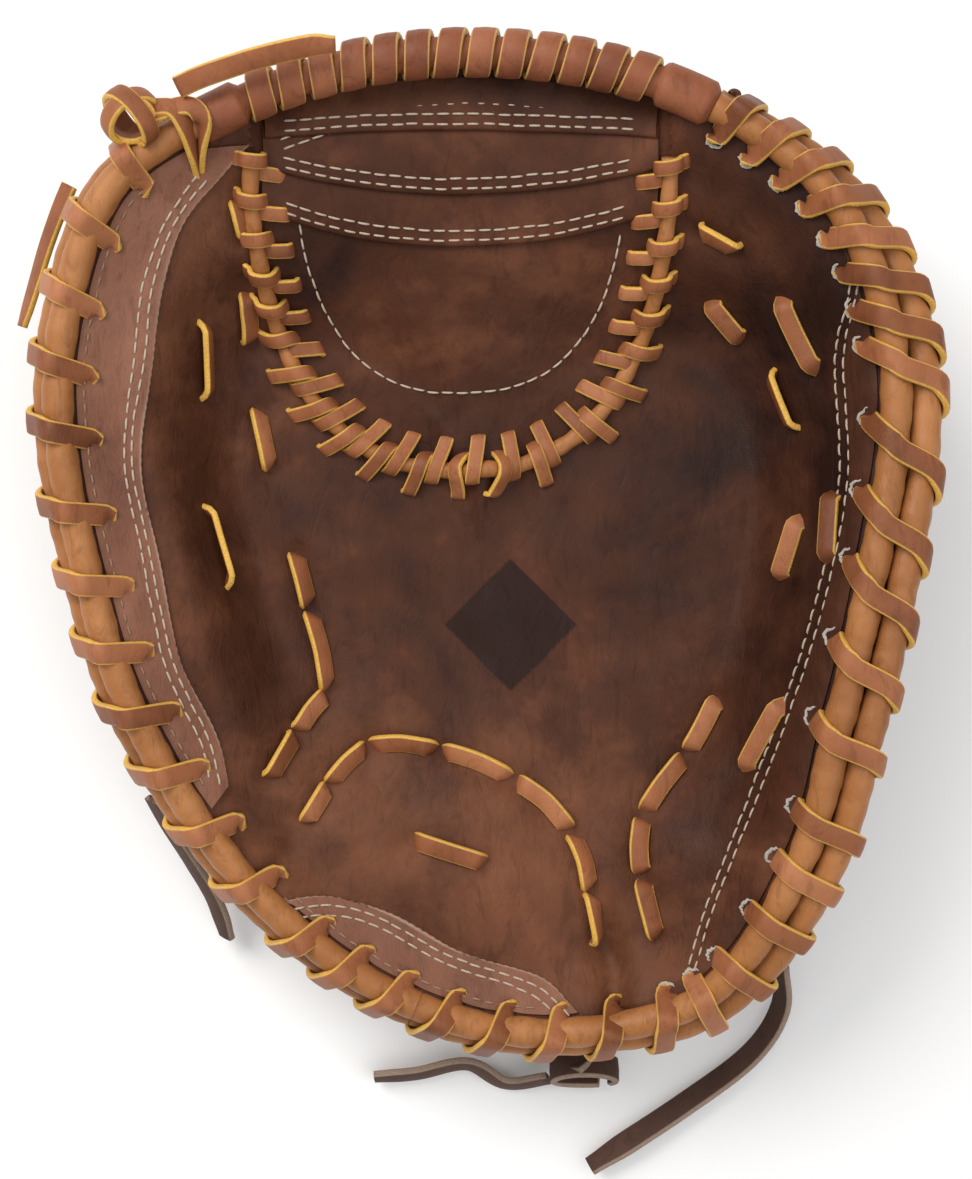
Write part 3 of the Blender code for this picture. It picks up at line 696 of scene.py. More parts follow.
def mixed(tree, share, a, b, kind="MIX"):
    """Colour a turned into b by a share, each a socket or a value."""
    mix = tree.nodes.new("ShaderNodeMix")
    mix.data_type = "RGBA"
    mix.blend_type = kind
    for socket, value in ((mix.inputs[0], share), (mix.inputs[6], a), (mix.inputs[7], b)):
        if isinstance(value, bpy.types.NodeSocket):
            tree.links.new(value, socket)
        else:
            socket.default_value = (*value, 1) if isinstance(value, tuple) else value
    return mix.outputs[2]


def maths(tree, operation, a, b=0.0, clamp=False):
    made = tree.nodes.new("ShaderNodeMath")
    made.operation = operation
    made.use_clamp = clamp
    for socket, value in zip(made.inputs, (a, b)):
        if isinstance(value, bpy.types.NodeSocket):
            tree.links.new(value, socket)
        else:
            socket.default_value = value
    return made.outputs[0]


def attribute(tree, name):
    made = tree.nodes.new("ShaderNodeAttribute")
    made.attribute_name = name
    return made.outputs["Fac"]


def start_material(name):
    made = bpy.data.materials.new(name)
    made.use_nodes = True
    tree = made.node_tree
    place = tree.nodes.new("ShaderNodeTexCoord").outputs["Object"]
    return made, tree, tree.nodes["Principled BSDF"], place


def noise(tree, place, scale, detail=4.0, rough=0.55, distortion=0.0):
    made = node(tree, "ShaderNodeTexNoise", Scale=scale, Detail=detail, Roughness=rough)
    made.inputs["Distortion"].default_value = distortion
    tree.links.new(place, made.inputs["Vector"])
    return made.outputs["Fac"]


def stretched(tree, place, scale, turn=(0, 0, 0)):
    mapping = tree.nodes.new("ShaderNodeMapping")
    mapping.inputs["Scale"].default_value = scale
    mapping.inputs["Rotation"].default_value = turn
    tree.links.new(place, mapping.inputs["Vector"])
    return mapping.outputs[0]


def bumped(tree, shader, layers):
    """Bump from several heights, each with its distance in metres and strength."""
    normal = None
    for height, distance, strength in layers:
        bump = tree.nodes.new("ShaderNodeBump")
        bump.inputs["Distance"].default_value = distance
        bump.inputs["Strength"].default_value = strength
        tree.links.new(height, bump.inputs["Height"])
        if normal is not None:
            tree.links.new(normal, bump.inputs["Normal"])
        normal = bump.outputs[0]
    tree.links.new(normal, shader.inputs["Normal"])


def leather(
    name, dark, middle, light, edge=None, roughness=0.5, grain=1.0, wrinkle=1.0, tone=0.0, shine=0.25
):
    """Dyed leather: mottling, pores, fine creases with painted shade darkening their colour, and a raw colour
    where the edge attribute is 1.
    """
    made, tree, shader, place = start_material(name)
    broad = noise(tree, place, 14, 5, 0.6, 0.6)
    patches = noise(tree, place, 55, 4, 0.6)
    blend = maths(tree, "ADD", maths(tree, "MULTIPLY", broad, 0.65), maths(tree, "MULTIPLY", patches, 0.35))
    # The tone attribute shifts the colour: on the palm leather and the web's bands it carries painted light
    # and shade, on other pieces tone that differs from piece to piece.
    if tone:
        own = maths(tree, "MULTIPLY", maths(tree, "SUBTRACT", attribute(tree, "tone"), 0.5), tone)
        blend = maths(tree, "ADD", blend, own)
    colour = colour_ramp(tree, blend, [(0.30, dark), (0.5, middle), (0.72, light)])
    creases = noise(tree, stretched(tree, place, (1, 0.35, 1), (0, 0, 0.3)), 190, 5, 0.7, 1.4)
    # Painted shade in the fine creases: the colour is darkened where the crease height is low.
    crease_shade = colour_ramp(tree, creases, [(0.36, (0.62, 0.58, 0.56)), (0.47, (1, 1, 1))])
    colour = mixed(tree, 0.55, colour, crease_shade, "MULTIPLY")
    cells = node(tree, "ShaderNodeTexVoronoi", Scale=1300.0)
    cells.feature = "DISTANCE_TO_EDGE"
    tree.links.new(place, cells.inputs["Vector"])
    pores = colour_ramp(tree, cells.outputs["Distance"], [(0.0, (0.86, 0.84, 0.83)), (0.10, (1, 1, 1))])
    colour = mixed(tree, 0.5, colour, pores, "MULTIPLY")
    if edge is not None:
        fibre = noise(tree, place, 1500, 3, 0.6)
        raw = colour_ramp(tree, fibre, [(0.3, tuple(0.72 * c for c in edge)), (0.65, edge)])
        colour = mixed(tree, attribute(tree, "edge"), colour, raw)
    tree.links.new(colour, shader.inputs["Base Color"])
    gloss = colour_ramp(tree, patches, [(0.3, (roughness - 0.08,) * 3), (0.7, (roughness + 0.1,) * 3)])
    tree.links.new(gloss, shader.inputs["Roughness"])
    shader.inputs["Specular IOR Level"].default_value = shine
    fine = noise(tree, place, 900, 4, 0.6)
    bumped(
        tree,
        shader,
        [
            (creases, 0.0009 * wrinkle, 0.55),
            (cells.outputs["Distance"], 0.0002 * grain, 0.35),
            (fine, 0.00025 * grain, 0.3),
        ],
    )
    return made


def thread(name, colour):
    made, tree, shader, place = start_material(name)
    twist = noise(tree, place, 2600, 2, 0.5)
    shade = colour_ramp(tree, twist, [(0.3, tuple(0.6 * c for c in colour)), (0.7, colour)])
    tree.links.new(shade, shader.inputs["Base Color"])
    shader.inputs["Roughness"].default_value = 0.75
    bumped(tree, shader, [(twist, 0.0003, 0.5)])
    return made


def fuzzy(name, dark, light, scale):
    made, tree, shader, place = start_material(name)
    fibre = noise(tree, place, scale, 6, 0.75, 0.8)
    clump = noise(tree, place, scale / 9, 4, 0.6)
    blend = maths(tree, "ADD", maths(tree, "MULTIPLY", fibre, 0.6), maths(tree, "MULTIPLY", clump, 0.4))
    tree.links.new(colour_ramp(tree, blend, [(0.32, dark), (0.62, light)]), shader.inputs["Base Color"])
    shader.inputs["Roughness"].default_value = 0.95
    shader.inputs["Sheen Weight"].default_value = 0.4
    bumped(tree, shader, [(clump, 0.002, 0.5), (fibre, 0.0008, 0.7)])
    return made


def metal(name, colour):
    made, tree, shader, place = start_material(name)
    scratch = noise(tree, stretched(tree, place, (1, 9, 1)), 500, 5, 0.7)
    tint = colour_ramp(tree, scratch, [(0.3, tuple(0.75 * c for c in colour)), (0.7, colour)])
    tree.links.new(tint, shader.inputs["Base Color"])
    shader.inputs["Metallic"].default_value = 1.0
    gloss = colour_ramp(tree, scratch, [(0.2, (0.22,) * 3), (0.8, (0.42,) * 3)])
    tree.links.new(gloss, shader.inputs["Roughness"])
    bumped(tree, shader, [(scratch, 0.0002, 0.2)])
    return made


def materials():
    return {
        "palm": leather(
            "palm_leather_dark",
            (0.022, 0.0078, 0.0052),
            (0.072, 0.0240, 0.0115),
            (0.185, 0.069, 0.033),
            edge=(0.36, 0.22, 0.15),
            roughness=0.50,
            tone=0.45,
            shine=0.14,
        ),
        "overlay": leather(
            "overlay_leather",
            (0.10, 0.038, 0.023),
            (0.205, 0.083, 0.048),
            (0.30, 0.14, 0.088),
            edge=(0.50, 0.34, 0.25),
            roughness=0.52,
        ),
        "roll": leather(
            "roll_leather",
            (0.22, 0.078, 0.024),
            (0.36, 0.145, 0.046),
            (0.50, 0.225, 0.085),
            roughness=0.42,
            wrinkle=0.5,
        ),
        "lace": leather(
            "rawhide_lace_brown",
            (0.15, 0.047, 0.018),
            (0.285, 0.098, 0.038),
            (0.42, 0.165, 0.072),
            edge=(0.74, 0.43, 0.085),
            roughness=0.5,
            wrinkle=0.5,
            tone=0.25,
        ),
        "strip": leather(
            "bar_strip_leather",
            (0.125, 0.036, 0.016),
            (0.235, 0.074, 0.032),
            (0.36, 0.132, 0.062),
            edge=(0.66, 0.40, 0.12),
            roughness=0.48,
            wrinkle=0.5,
            tone=0.2,
        ),
        "thong": leather(
            "brown_thong",
            (0.045, 0.022, 0.016),
            (0.085, 0.043, 0.030),
            (0.14, 0.075, 0.055),
            edge=(0.33, 0.235, 0.175),
            roughness=0.7,
            grain=1.4,
        ),
        "back": leather(
            "back_leather_brown",
            (0.05, 0.019, 0.012),
            (0.105, 0.042, 0.027),
            (0.16, 0.072, 0.048),
        ),
        "liner": leather(
            "lining_deerskin",
            (0.25, 0.14, 0.07),
            (0.36, 0.215, 0.115),
            (0.46, 0.29, 0.165),
            roughness=0.8,
            wrinkle=0.7,
        ),
        "thread": thread("waxed_thread", (0.56, 0.45, 0.34)),
        "brown_thread": thread("brown_thread", (0.34, 0.21, 0.13)),
        "felt": fuzzy("wool_felt", (0.42, 0.39, 0.33), (0.62, 0.58, 0.50), 700),
        "fleece": fuzzy("shearling", (0.55, 0.47, 0.33), (0.86, 0.79, 0.63), 420),
        "fibre": fuzzy("torn_fibre", (0.26, 0.22, 0.18), (0.56, 0.53, 0.48), 1500),
        "steel": metal("nickel_steel", (0.66, 0.65, 0.61)),
    }


# ---------------------------------------------------------------- the palm


def build_palm(finish):
    """The palm leather, from the middle of the pocket to the rim, left out where the web is laced in."""
    angles, shares = np.arange(0, 360, 0.5), np.linspace(0.0, 1, 165)[1:] ** 0.9
    turn, share = np.meshgrid(angles, shares)
    radius = (form(turn, RADIUS) - PALM_INSET) * share
    x, y = radius * np.cos(np.radians(turn)), radius * np.sin(np.radians(turn))
    z = skin(x, y)
    verts = np.stack([x, y, z], -1).reshape(-1, 3)
    faces = grid_faces(len(shares), len(angles), close_columns=True, flip=True)
    centre = len(verts)
    verts = np.vstack([verts, [(0, 0, float(skin(0.0, 0.0)))]])
    faces += [[centre, i, (i + 1) % len(angles)] for i in range(len(angles))]
    hidden = in_web(verts[:, 0], verts[:, 1], 0.5)
    hidden |= (np.abs(verts[:, 0] - WEB_CENTRE[0]) < WEB_HALF[0] + 0.5) & (verts[:, 1] > WEB_CENTRE[1])
    faces = [face for face in faces if not hidden[face].all()]
    x, y = verts[:, 0], verts[:, 1]
    # Painted light and shade in the palm's tone: darker over the middle of the pocket and on its right-hand
    # wall, where shade falls, and lighter on the heel mound, which faces the light. The diamond after it is a
    # printed mark.
    tone = 0.62 - 0.22 * np.exp(-((x - 10) / 60) ** 2 - ((y - 5) / 62) ** 2)
    tone += 0.20 * np.exp(-((x + 12) / 42) ** 2 - ((y + 88) / 30) ** 2)
    tone -= 0.30 * smooth((x - 28) / 40) * smooth((y + 125) / 50)
    diamond = np.abs(x - MARK[0]) + np.abs(y - MARK[1])
    tone -= 0.55 * smooth((MARK_HALF - diamond) / 1.2)
    batch = Batch()
    batch.add(verts, faces, tone=tone)
    nodes = (["palm_leather_thumb", "palm_leather_center"], ["palm_leather_finger"])
    halves("palm_skin", batch, finish["palm"], whole=False, replaces=nodes)


def overlay_grid(inner, rim_ends, rows, thick=1.3):
    """A patch from its inner edge out to the rim. Its first columns are the raw edge, from the skin up."""
    inner = resample(inside_rim(inner), rows)
    outer = rim(np.linspace(*rim_ends, rows), -OVERLAY_INSET)[:, :2]
    reach = np.linalg.norm(outer - inner, axis=1)
    shares = np.concatenate([[0, 0, 0.012, 0.03], np.linspace(0.06, 1, 28)])
    lifts = np.concatenate([[-0.6, thick - 0.35, thick], np.full(len(shares) - 3, thick)])
    plan = inner[:, None] + (outer - inner)[:, None] * shares[None, :, None]
    worn = 0.12 * np.sin(np.arange(rows) * 1.9) + 0.3 * np.sin(np.arange(rows) * 0.11 + 1)
    plan[:, :3] -= (unit(outer - inner) * (worn * smooth(reach / 6))[:, None])[:, None]
    points, _ = on_skin(plan, np.broadcast_to(lifts, plan.shape[:2]))
    edge = np.zeros(plan.shape[:2])
    edge[:, :3] = (1, 1, 0.75)
    edge[:, 3] = 0.15
    return points, edge


def build_overlays(finish):
    for side, inner, ends, rows in (
        ("thumb", THUMB_OVERLAY, THUMB_OVERLAY_RIM, 260),
        ("heel", HEEL_OVERLAY, HEEL_OVERLAY_RIM, 140),
    ):
        points, edge = overlay_grid(inner, ends, rows)
        verts = points.reshape(-1, 3)
        batch = Batch()
        batch.add(verts, faced(verts, grid_faces(*points.shape[:2])), edge.ravel(), 0.5)
        overlay = single(f"{side}_rim_overlay", batch, finish["overlay"], [f"{side}_overlay"])
        bend_left(overlay)
    rows = 260
    inner = resample(inside_rim(FINGER_SEAM), rows)
    outer = rim(np.linspace(43, -74, rows), -OVERLAY_INSET)[:, :2]
    shares = np.concatenate([[0, 0.02, 0.05], np.linspace(0.1, 1, 20)])
    lifts = np.concatenate([[-0.5, 0.35, 0.7], np.full(20, 0.8)])
    plan = inner[:, None] + (outer - inner)[:, None] * shares[None, :, None]
    points, _ = on_skin(plan, np.broadcast_to(lifts, plan.shape[:2]))
    verts = points.reshape(-1, 3)
    batch = Batch()
    batch.add(verts, faced(verts, grid_faces(rows, len(shares))), tone=0.5)
    bend_right(single("finger_rim_overlay", batch, finish["palm"], ["finger_overlay"]))


def build_stitching(finish):
    light, brown = Batch(), Batch()
    edges = (THUMB_OVERLAY, HEEL_OVERLAY, FINGER_SEAM)
    thumb, heel, seam = (resample(inside_rim(rows), step=1.0) for rows in edges)
    thumb = thumb[14:]
    for aside in (2.4, 4.8):
        stitches(light, shifted(thumb, -aside), 1.3)
    for aside in (2.6, 5.2):
        stitches(light, shifted(heel, -aside), 1.3)
    for aside, lift in ((-1.9, 0.1), (0.2, 0.5)):
        stitches(light, shifted(seam, aside), lift)
    for ends in ((131, 222), (241, 279)):
        angles = np.arange(*ends, 1.0)
        stitches(brown, rim(angles, -6.3)[:, :2], 1.3, length=2.8, pitch=4.0, radius=0.32)
    halves("overlay_stitching", light, finish["thread"])
    halves("rim_stitching", brown, finish["brown_thread"])


# ---------------------------------------------------------------- the rim


def build_rolls(finish):
    hole, shift, _ = wrap_rows()
    section, _ = ring_section(18)
    for name, ends, nodes, bend in (
        ("thumb", THUMB_ROLL, ["thumb_roll", "heel_roll"], bend_left),
        ("finger", FINGER_ROLL, ["finger_roll"], bend_right),
    ):
        angle = np.linspace(*ends, int(abs(ends[1] - ends[0]) * 2.5))
        across, up = roll_frame(angle)
        for roll, line, along_wrap in (("inner", rim(angle), 0.3), ("outer", outer_roll(angle), 0.75)):
            under = (hole + shift * along_wrap)[:, None]
            apart = (angle[None] - under + 180) % 360 - 180
            pinch = np.exp(-((apart * form(angle, RADIUS)[None] * math.pi / 180 / 4.2) ** 2)).sum(axis=0)
            swell = 0.12 * np.sin(angle * 0.83) + 0.08 * np.sin(angle * 2.1 + 1)
            radius = ROLL_RADIUS + 0.12 + swell - 0.42 * np.minimum(pinch, 1)
            batch = Batch()
            batch.add(*capped_tube(line, across, up, radius, section), tone=0.5)
            covered = [f"{node}_{roll}" for node in nodes]
            bend(single(f"{name}_rim_roll_{roll}", batch, finish["roll"], covered))


def wrap_route(hole, shift, inset):
    """A wrap of the rim lace: out of its hole, over both rolls and round under the outer one."""
    radius = ROLL_RADIUS + LACE_THICK / 2 + 0.15
    low, _ = on_skin(rim(np.array(float(hole)), -inset + 1.2)[:2], -2.6)
    mouth, _ = on_skin(rim(np.array(hole + 0.04 * shift), -inset + 0.9)[:2], 0.9)
    points, middles = [low, mouth], [low + (4, 0, -3), mouth]
    steps = [(0.25, 0, 146), (0.34, 0, 118), (0.44, 0, 92), (0.60, 1, 88), (0.74, 1, 48), (0.86, 1, 8)]
    steps += [(0.95, 1, -36), (1.0, 1, -80), (1.02, 1, -115)]
    for share, outer, turn in steps:
        angle = np.array(hole + shift * share)
        across, up = roll_frame(angle)
        middle = outer_roll(angle) if outer else rim(angle)
        turn = math.radians(turn)
        points.append(middle + radius * (across * math.cos(turn) + up * math.sin(turn)))
        middles.append(middle)
    across, up = roll_frame(np.array(float(hole)))
    middles[0], middles[1] = low + across * 3 - up * 1.0, mouth + across * 2 - up * 2.0
    line = resample(np.hstack([points, middles]), 40)
    points, facing = line[:, :3], unit(line[:, :3] - line[:, 3:])
    return points, facing


def build_rim_laces(finish):
    batch = Batch()
    section, cut = LACE_SECTION
    for hole, shift, inset in zip(*wrap_rows()):
        points, facing = wrap_route(hole, shift, inset)
        sweep(batch, points, facing, section, cut)
    nodes = (["thumb_rim_lace", "heel_rim_lace"], ["finger_rim_lace"])
    halves("rim_lacing", batch, finish["lace"], replaces=nodes)


# ---------------------------------------------------------------- the web


def web_point(u, v):
    bottom = web_edge(u, -0.5)
    top = rim(WEB_RIM[0] + (WEB_RIM[1] - WEB_RIM[0]) * np.asarray(u, float), 0.5)[..., :2]
    return bottom * (1 - v)[..., None] + top * v[..., None]


def build_web(finish):
    rows, columns = 130, 150
    v, u = np.meshgrid(np.linspace(0, 1, rows), np.linspace(0, 1, columns), indexing="ij")
    plan = web_point(u, v)
    points, _ = on_skin(plan, np.full(plan.shape[:2], -0.3))
    batch = Batch()
    verts = points.reshape(-1, 3)
    batch.add(verts, faced(verts, grid_faces(rows, columns)), tone=0.36)
    nodes = (["web_panel"], ())
    halves("web_skin", batch, finish["palm"], whole=False, replaces=nodes)
    bands = Batch()
    edges = [web_band_edge(*band) for band in (*WEB_BANDS, WEB_BAND_TOP)]
    for index, (low, high) in enumerate(zip(edges, edges[1:])):
        low, high = resample(low, 120), resample(high, 120)
        high = high + unit(high - low) * 3
        shares = np.concatenate([[0.0, -0.015, -0.01, 0.02, 0.06], np.linspace(0.12, 1, 22)])
        lifts = 0.3 + index * 0.3 + np.concatenate(
            [[-1.2, 0.1, 0.9, 1.3, 1.4], 1.4 - 1.3 * smooth(np.linspace(0.12, 1, 22))]
        )
        plan = low[:, None] + (high - low)[:, None] * shares[None, :, None]
        points, _ = on_skin(plan, np.broadcast_to(lifts, plan.shape[:2]))
        verts = points.reshape(-1, 3)
        # Each band higher up gets a lower tone: painted shade under the bar.
        bands.add(verts, faced(verts, grid_faces(*points.shape[:2])), tone=0.42 - 0.05 * index)
    nodes = (["web_band_lower", "web_band_middle", "web_band_upper"], ())
    halves("web_bands", bands, finish["palm"], whole=False, replaces=nodes)
    thread = Batch()
    stitches(thread, web_edge(np.linspace(0.065, 0.935, 19), np.array(WEB_STITCH_INSET)), 0.0)
    for index, low in enumerate(edges[:-1]):
        for above in (1.6, 4.2):
            inside = resample(low, 60)[3:-3]
            stitches(thread, inside + (0, above), 1.55 + index * 0.3)
    for below in (-12.0, -14.6):
        stitches(thread, rim(np.linspace(WEB_RIM[0] - 3, WEB_RIM[1] + 7, 40), below)[:, :2], 1.2)
    halves("web_stitching", thread, finish["thread"])


def build_bar(finish):
    """The padded bar along the web's top: a leather sleeve, and strips wound round it."""
    angle = np.linspace(WEB_RIM[0] + 5, WEB_RIM[1] - 2, 160)
    line = rim(angle)
    along = unit(np.gradient(line, axis=0))
    side = unit(np.cross(along, (0, 0, 1.0)))
    up = np.cross(side, along)
    section, _ = ring_section(22)
    share = np.linspace(0, 1, len(angle))
    sleeve = smooth((0.10 - share) / 0.012) + smooth((share - 0.885) / 0.012)
    radius = BAR_RADIUS - 1.5 + 1.9 * sleeve
    radius *= 1 - 0.3 * smooth((0.012 - share) / 0.012) - 0.3 * smooth((share - 0.988) / 0.012)
    batch = Batch()
    batch.add(*capped_tube(line, side, up, radius, section), tone=0.5)
    nodes = (["web_bar_binding", "web_bar_core"], ())
    halves("web_bar_sleeve", batch, finish["strip"], whole=False, replaces=nodes)
    strips = Batch()
    section, cut = lace_section(6.9, 2.2)
    count = 13
    for index in range(count):
        turn = np.linspace(-200, 160, 40)
        middle = 0.135 + 0.715 * index / (count - 1)
        lean = 0.018 + 0.004 * math.sin(index * 2.3)
        share = middle + lean * turn / 180
        place = np.interp(share, np.linspace(0, 1, len(angle)), angle)
        centre = rim(place)
        ahead = unit(rim(place - 0.5) - rim(place + 0.5))
        across = unit(np.cross(ahead, (0, 0, 1.0)))
        above = np.cross(across, ahead)
        spin = np.radians(turn + 90)[:, None]
        facing = across * np.cos(spin) + above * np.sin(spin)
        sweep(strips, centre + facing * (BAR_RADIUS - 0.35), facing, section, cut)
    halves("web_bar_strips", strips, finish["strip"], replaces=(["web_bar_lace"], ()))


def build_web_seam(finish):
    share = np.linspace(0, 1, 260)
    plan = web_edge(share, 0.3)
    line, face = on_skin(plan, 1.4)
    section, cut = ring_section(16)
    cord = Batch()
    radius = SEAM_CORD_RADIUS + 0.15 * np.sin(share * 170)
    sweep(cord, line, face, section, cut, 0.5, np.stack([radius, radius * 0.9], -1))
    nodes = (["web_seam_cord"], ())
    halves("web_seam_roll", cord, finish["roll"], whole=False, replaces=nodes)
    laces = Batch()
    section, cut = lace_section(4.3, 1.7)
    run = run_of(line)
    pairs = 22
    for index in range(pairs):
        for kind in ("web", "palm"):
            where = (index + 0.4) / pairs
            low = smooth((0.33 - abs(where - 0.5)) / 0.16)
            lean = np.interp(where, SEAM_LEAN_AT, SEAM_LEAN)
            if kind == "web":
                back = 1.6 - 4.6 * low
                shape = [(9.6, -2.4), (9.1, 0.7), (6.6, 1.7), (4.2, 2.2 + 0.6 * low)]
                shape += [((4.2 + back) / 2, 1.8 + 2.2 * low), (back, 0.4 + 2.0 * low), (back - 0.8, -1.6)]
                ends = (0.5, -0.5)
            else:
                out = -4.3 - 3.4 * low
                shape = [(4.3, -1.6), (3.9, 1.6), (2.6, 4.3), (0.0, 5.0), (-2.6, 4.0)]
                shape += [(out + 0.9 - 0.8 * low, 1.4), (out, 0.6), (out - 0.5, -2.2)]
                ends = (0.1, -0.9)
            path = resample(shape, 24)
            start = where * run[-1] - (0 if kind == "web" else 3.6 * np.sign(lean))
            at = start + lean * np.linspace(*ends, 24)
            middle = read_off(line, run, at)
            over = unit(read_off(face, run, at))
            ahead = unit(read_off(line, run, at + 1) - middle)
            inward = unit(np.cross(over, ahead))
            along = unit(np.gradient(path, axis=0))
            place = middle + inward * path[:, :1] + over * (path[:, 1:] - 1.6)
            facing = unit(inward * along[:, 1:] - over * along[:, :1])
            facing = np.where((facing * over).sum(axis=1, keepdims=True) < -0.2, -facing, facing)
            sweep(laces, place, facing, section, cut)
    halves("web_seam_lacing", laces, finish["lace"], replaces=(["web_seam_lace"], ()))


# ---------------------------------------------------------------- laces on the palm


def build_ties(finish):
    batch = Batch()
    section, cut = lace_section(5.6, 1.9)
    for run in TIES:
        plan = resample(run, 26)
        share = np.linspace(0, 1, 26)
        lift = 1.9 - 4.4 * (1 - smooth(share / 0.16)) - 4.4 * (1 - smooth((1 - share) / 0.16))
        points, face = on_skin(plan, lift)
        along = unit(np.gradient(points, axis=0))
        side = np.cross(along, face)
        lean = math.radians(random.uniform(20, 42)) * (1 if side[13, 1] - 0.6 * side[13, 0] > 0 else -1)
        facing = unit(face * math.cos(lean) - side * math.sin(lean))
        sweep(batch, points, facing, section, cut)
    nodes = (
        ["heel_tie_lace", "pocket_tie_lace", "heel_pad_tie_lace", "thumb_tie_lace"],
        ["finger_tie_lace_outer", "finger_tie_lace_inner"],
    )
    halves("palm_ties", batch, finish["lace"], replaces=nodes)


def build_knots(finish):
    """The knot of rim lace by the web's thumb end, and the lace that goes down beside it into its hole."""
    batch = Batch()
    section, cut = lace_section(5.4, 1.9)
    centre = np.array([-96.0, 118.5, 86.0])
    spin = np.linspace(0, 2 * np.pi, 44)
    for size, tilt, turn, tone in ((7.4, 62, 40, 0.7), (8.0, 70, -48, 0.4), (6.6, 35, 5, 0.6)):
        tilt, turn = math.radians(tilt), math.radians(turn)
        first = np.array([math.cos(turn), math.sin(turn), 0.0])
        second = np.array([-math.sin(turn) * math.cos(tilt), math.cos(turn) * math.cos(tilt), math.sin(tilt)])
        facing = first * np.cos(spin)[:, None] + second * np.sin(spin)[:, None]
        sweep(batch, centre + facing * size * (1, 1, 0.8), facing, section, cut, tone)
    strands = (
        [(-90, 121, 86), (-84, 120, 88.5), (-81, 115.5, 86), (-79.6, 110, 80), (-79, 105, 72)],
        [(-90, 119, 87), (-80, 121, 88), (-76, 117, 86.5), (-77.2, 111, 80), (-78.4, 105.6, 71)],
    )
    for index, strand in enumerate(strands):
        points = resample(strand, 30)
        share = np.linspace(0, 1, 30)[:, None]
        looks = np.array([(1 - 2 * index, 0.2, 0.5)])
        facing = unit(np.array([(0.2, 0.3, 1)]) * (1 - share) + looks * share)
        sweep(batch, points, facing, section, cut, 0.55)
    bend_left(single("rim_lace_knot", batch, finish["lace"], ["thumb_lace_knot"]))


def build_torn_holes(finish):
    """Pale torn fibre on the pocket's side of each lace hole of the finger half."""
    batch = Batch()
    section, cut = ring_section(8)
    for hole, _, inset in zip(*wrap_rows()):
        if hole < 290:
            continue
        turn = np.linspace(-75, 75, 12)
        along = rim(np.array(hole + 1))[:2] - rim(np.array(hole - 1))[:2]
        along = along / np.linalg.norm(along)
        inward = np.array([-along[1], along[0]])
        middle = rim(np.array(hole), -inset + 0.6)[:2]
        reach = (2.1 + random.uniform(-0.2, 0.4, 12))[:, None]
        spin = np.radians(turn)[:, None]
        plan = middle + reach * (inward * np.cos(spin) * 1.1 + along * np.sin(spin) * 1.25)
        points, face = on_skin(plan, 0.75)
        width = 0.5 * np.sin(np.linspace(0.25, math.pi - 0.25, 12)) + random.uniform(0, 0.2, 12)
        sweep(batch, points, face, section, cut, 0.5, np.stack([width, width * 0.6], -1))
    bend_right(single("torn_hole_edges", batch, finish["fibre"]))


def free_end(name, facing_ends, wide, thick, finish, body):
    """A flat free end along its CAD route, narrower at its tip. It looks two ways at its two ends."""
    points = resample(FREE_ENDS[name], 36)
    share = np.linspace(0, 1, 36)[:, None]
    facing = unit(np.array(facing_ends[0]) * (1 - share) + np.array(facing_ends[1]) * share)
    section, cut = lace_section(wide, thick)
    scale = np.ones((36, 2))
    scale[:, 0] -= 0.25 * smooth((share[:, 0] - 0.86) / 0.14)
    batch = Batch()
    sweep(batch, points, facing, section, cut, 0.5, scale)
    obj = single(f"{name}_strip", batch, finish, [name])
    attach(obj, body)


def build_free_ends(finish):
    for name, body, wide, looks in (
        ("lace_tail_top", "palm", 6.2, ((-0.3, -0.5, 1), (0.1, -0.6, 0.8))),
        ("lace_tail_side", "thumb_side", 5.6, ((-0.6, 0.2, 1), (-0.8, 0, 0.5))),
    ):
        free_end(name, looks, wide, 1.9, finish["lace"], body)
    for name, body, looks in (
        ("thong_tail_thumb", "thumb_side", ((-0.8, -0.3, 0.6), (-0.7, 0, 0.7))),
        ("thong_long_end", "finger_side", ((-0.8, 0.3, 0.5), (-0.5, 0.6, 0.75))),
        ("thong_short_end", "palm", ((0, -0.8, 0.4), (0, -0.9, 0.5))),
    ):
        free_end(name, looks, THONG_WIDE, THONG_THICK, finish["thong"], body)


def build_thong_knot(finish):
    batch = Batch()
    section, cut = lace_section(THONG_WIDE, THONG_THICK)
    centre = np.array([32.0, -160.0, 11.0])
    turn = np.radians(np.linspace(-30, 300, 40))
    loop = np.stack([9.5 * np.cos(turn), 2.6 * np.sin(turn), 4.6 * np.sin(turn)], -1)
    sweep(batch, loop + centre, unit(loop * (1, 2, 1) + 0.01), section, cut, 0.4)
    rise = 3.4 * np.sin(np.linspace(0.4, 3, 24))
    across = np.stack([np.linspace(-4, 7, 24), rise, np.linspace(6, -6, 24)], -1)
    facing = unit(np.stack([across[:, 0] * 0.1, across[:, 1] * 0 - 1, across[:, 2] * 0.1], -1))
    sweep(batch, across + centre, facing, section, cut, 0.7)
    knot = single("thong_tie_knot", batch, finish["thong"], ["thong_knot"])
    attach(knot, "palm")


# ---------------------------------------------------------------- the back


def crease_foot(crease, share, aside):
    return crease[0] + (crease[1] - crease[0]) * share[..., None] + np.array([aside, 0])


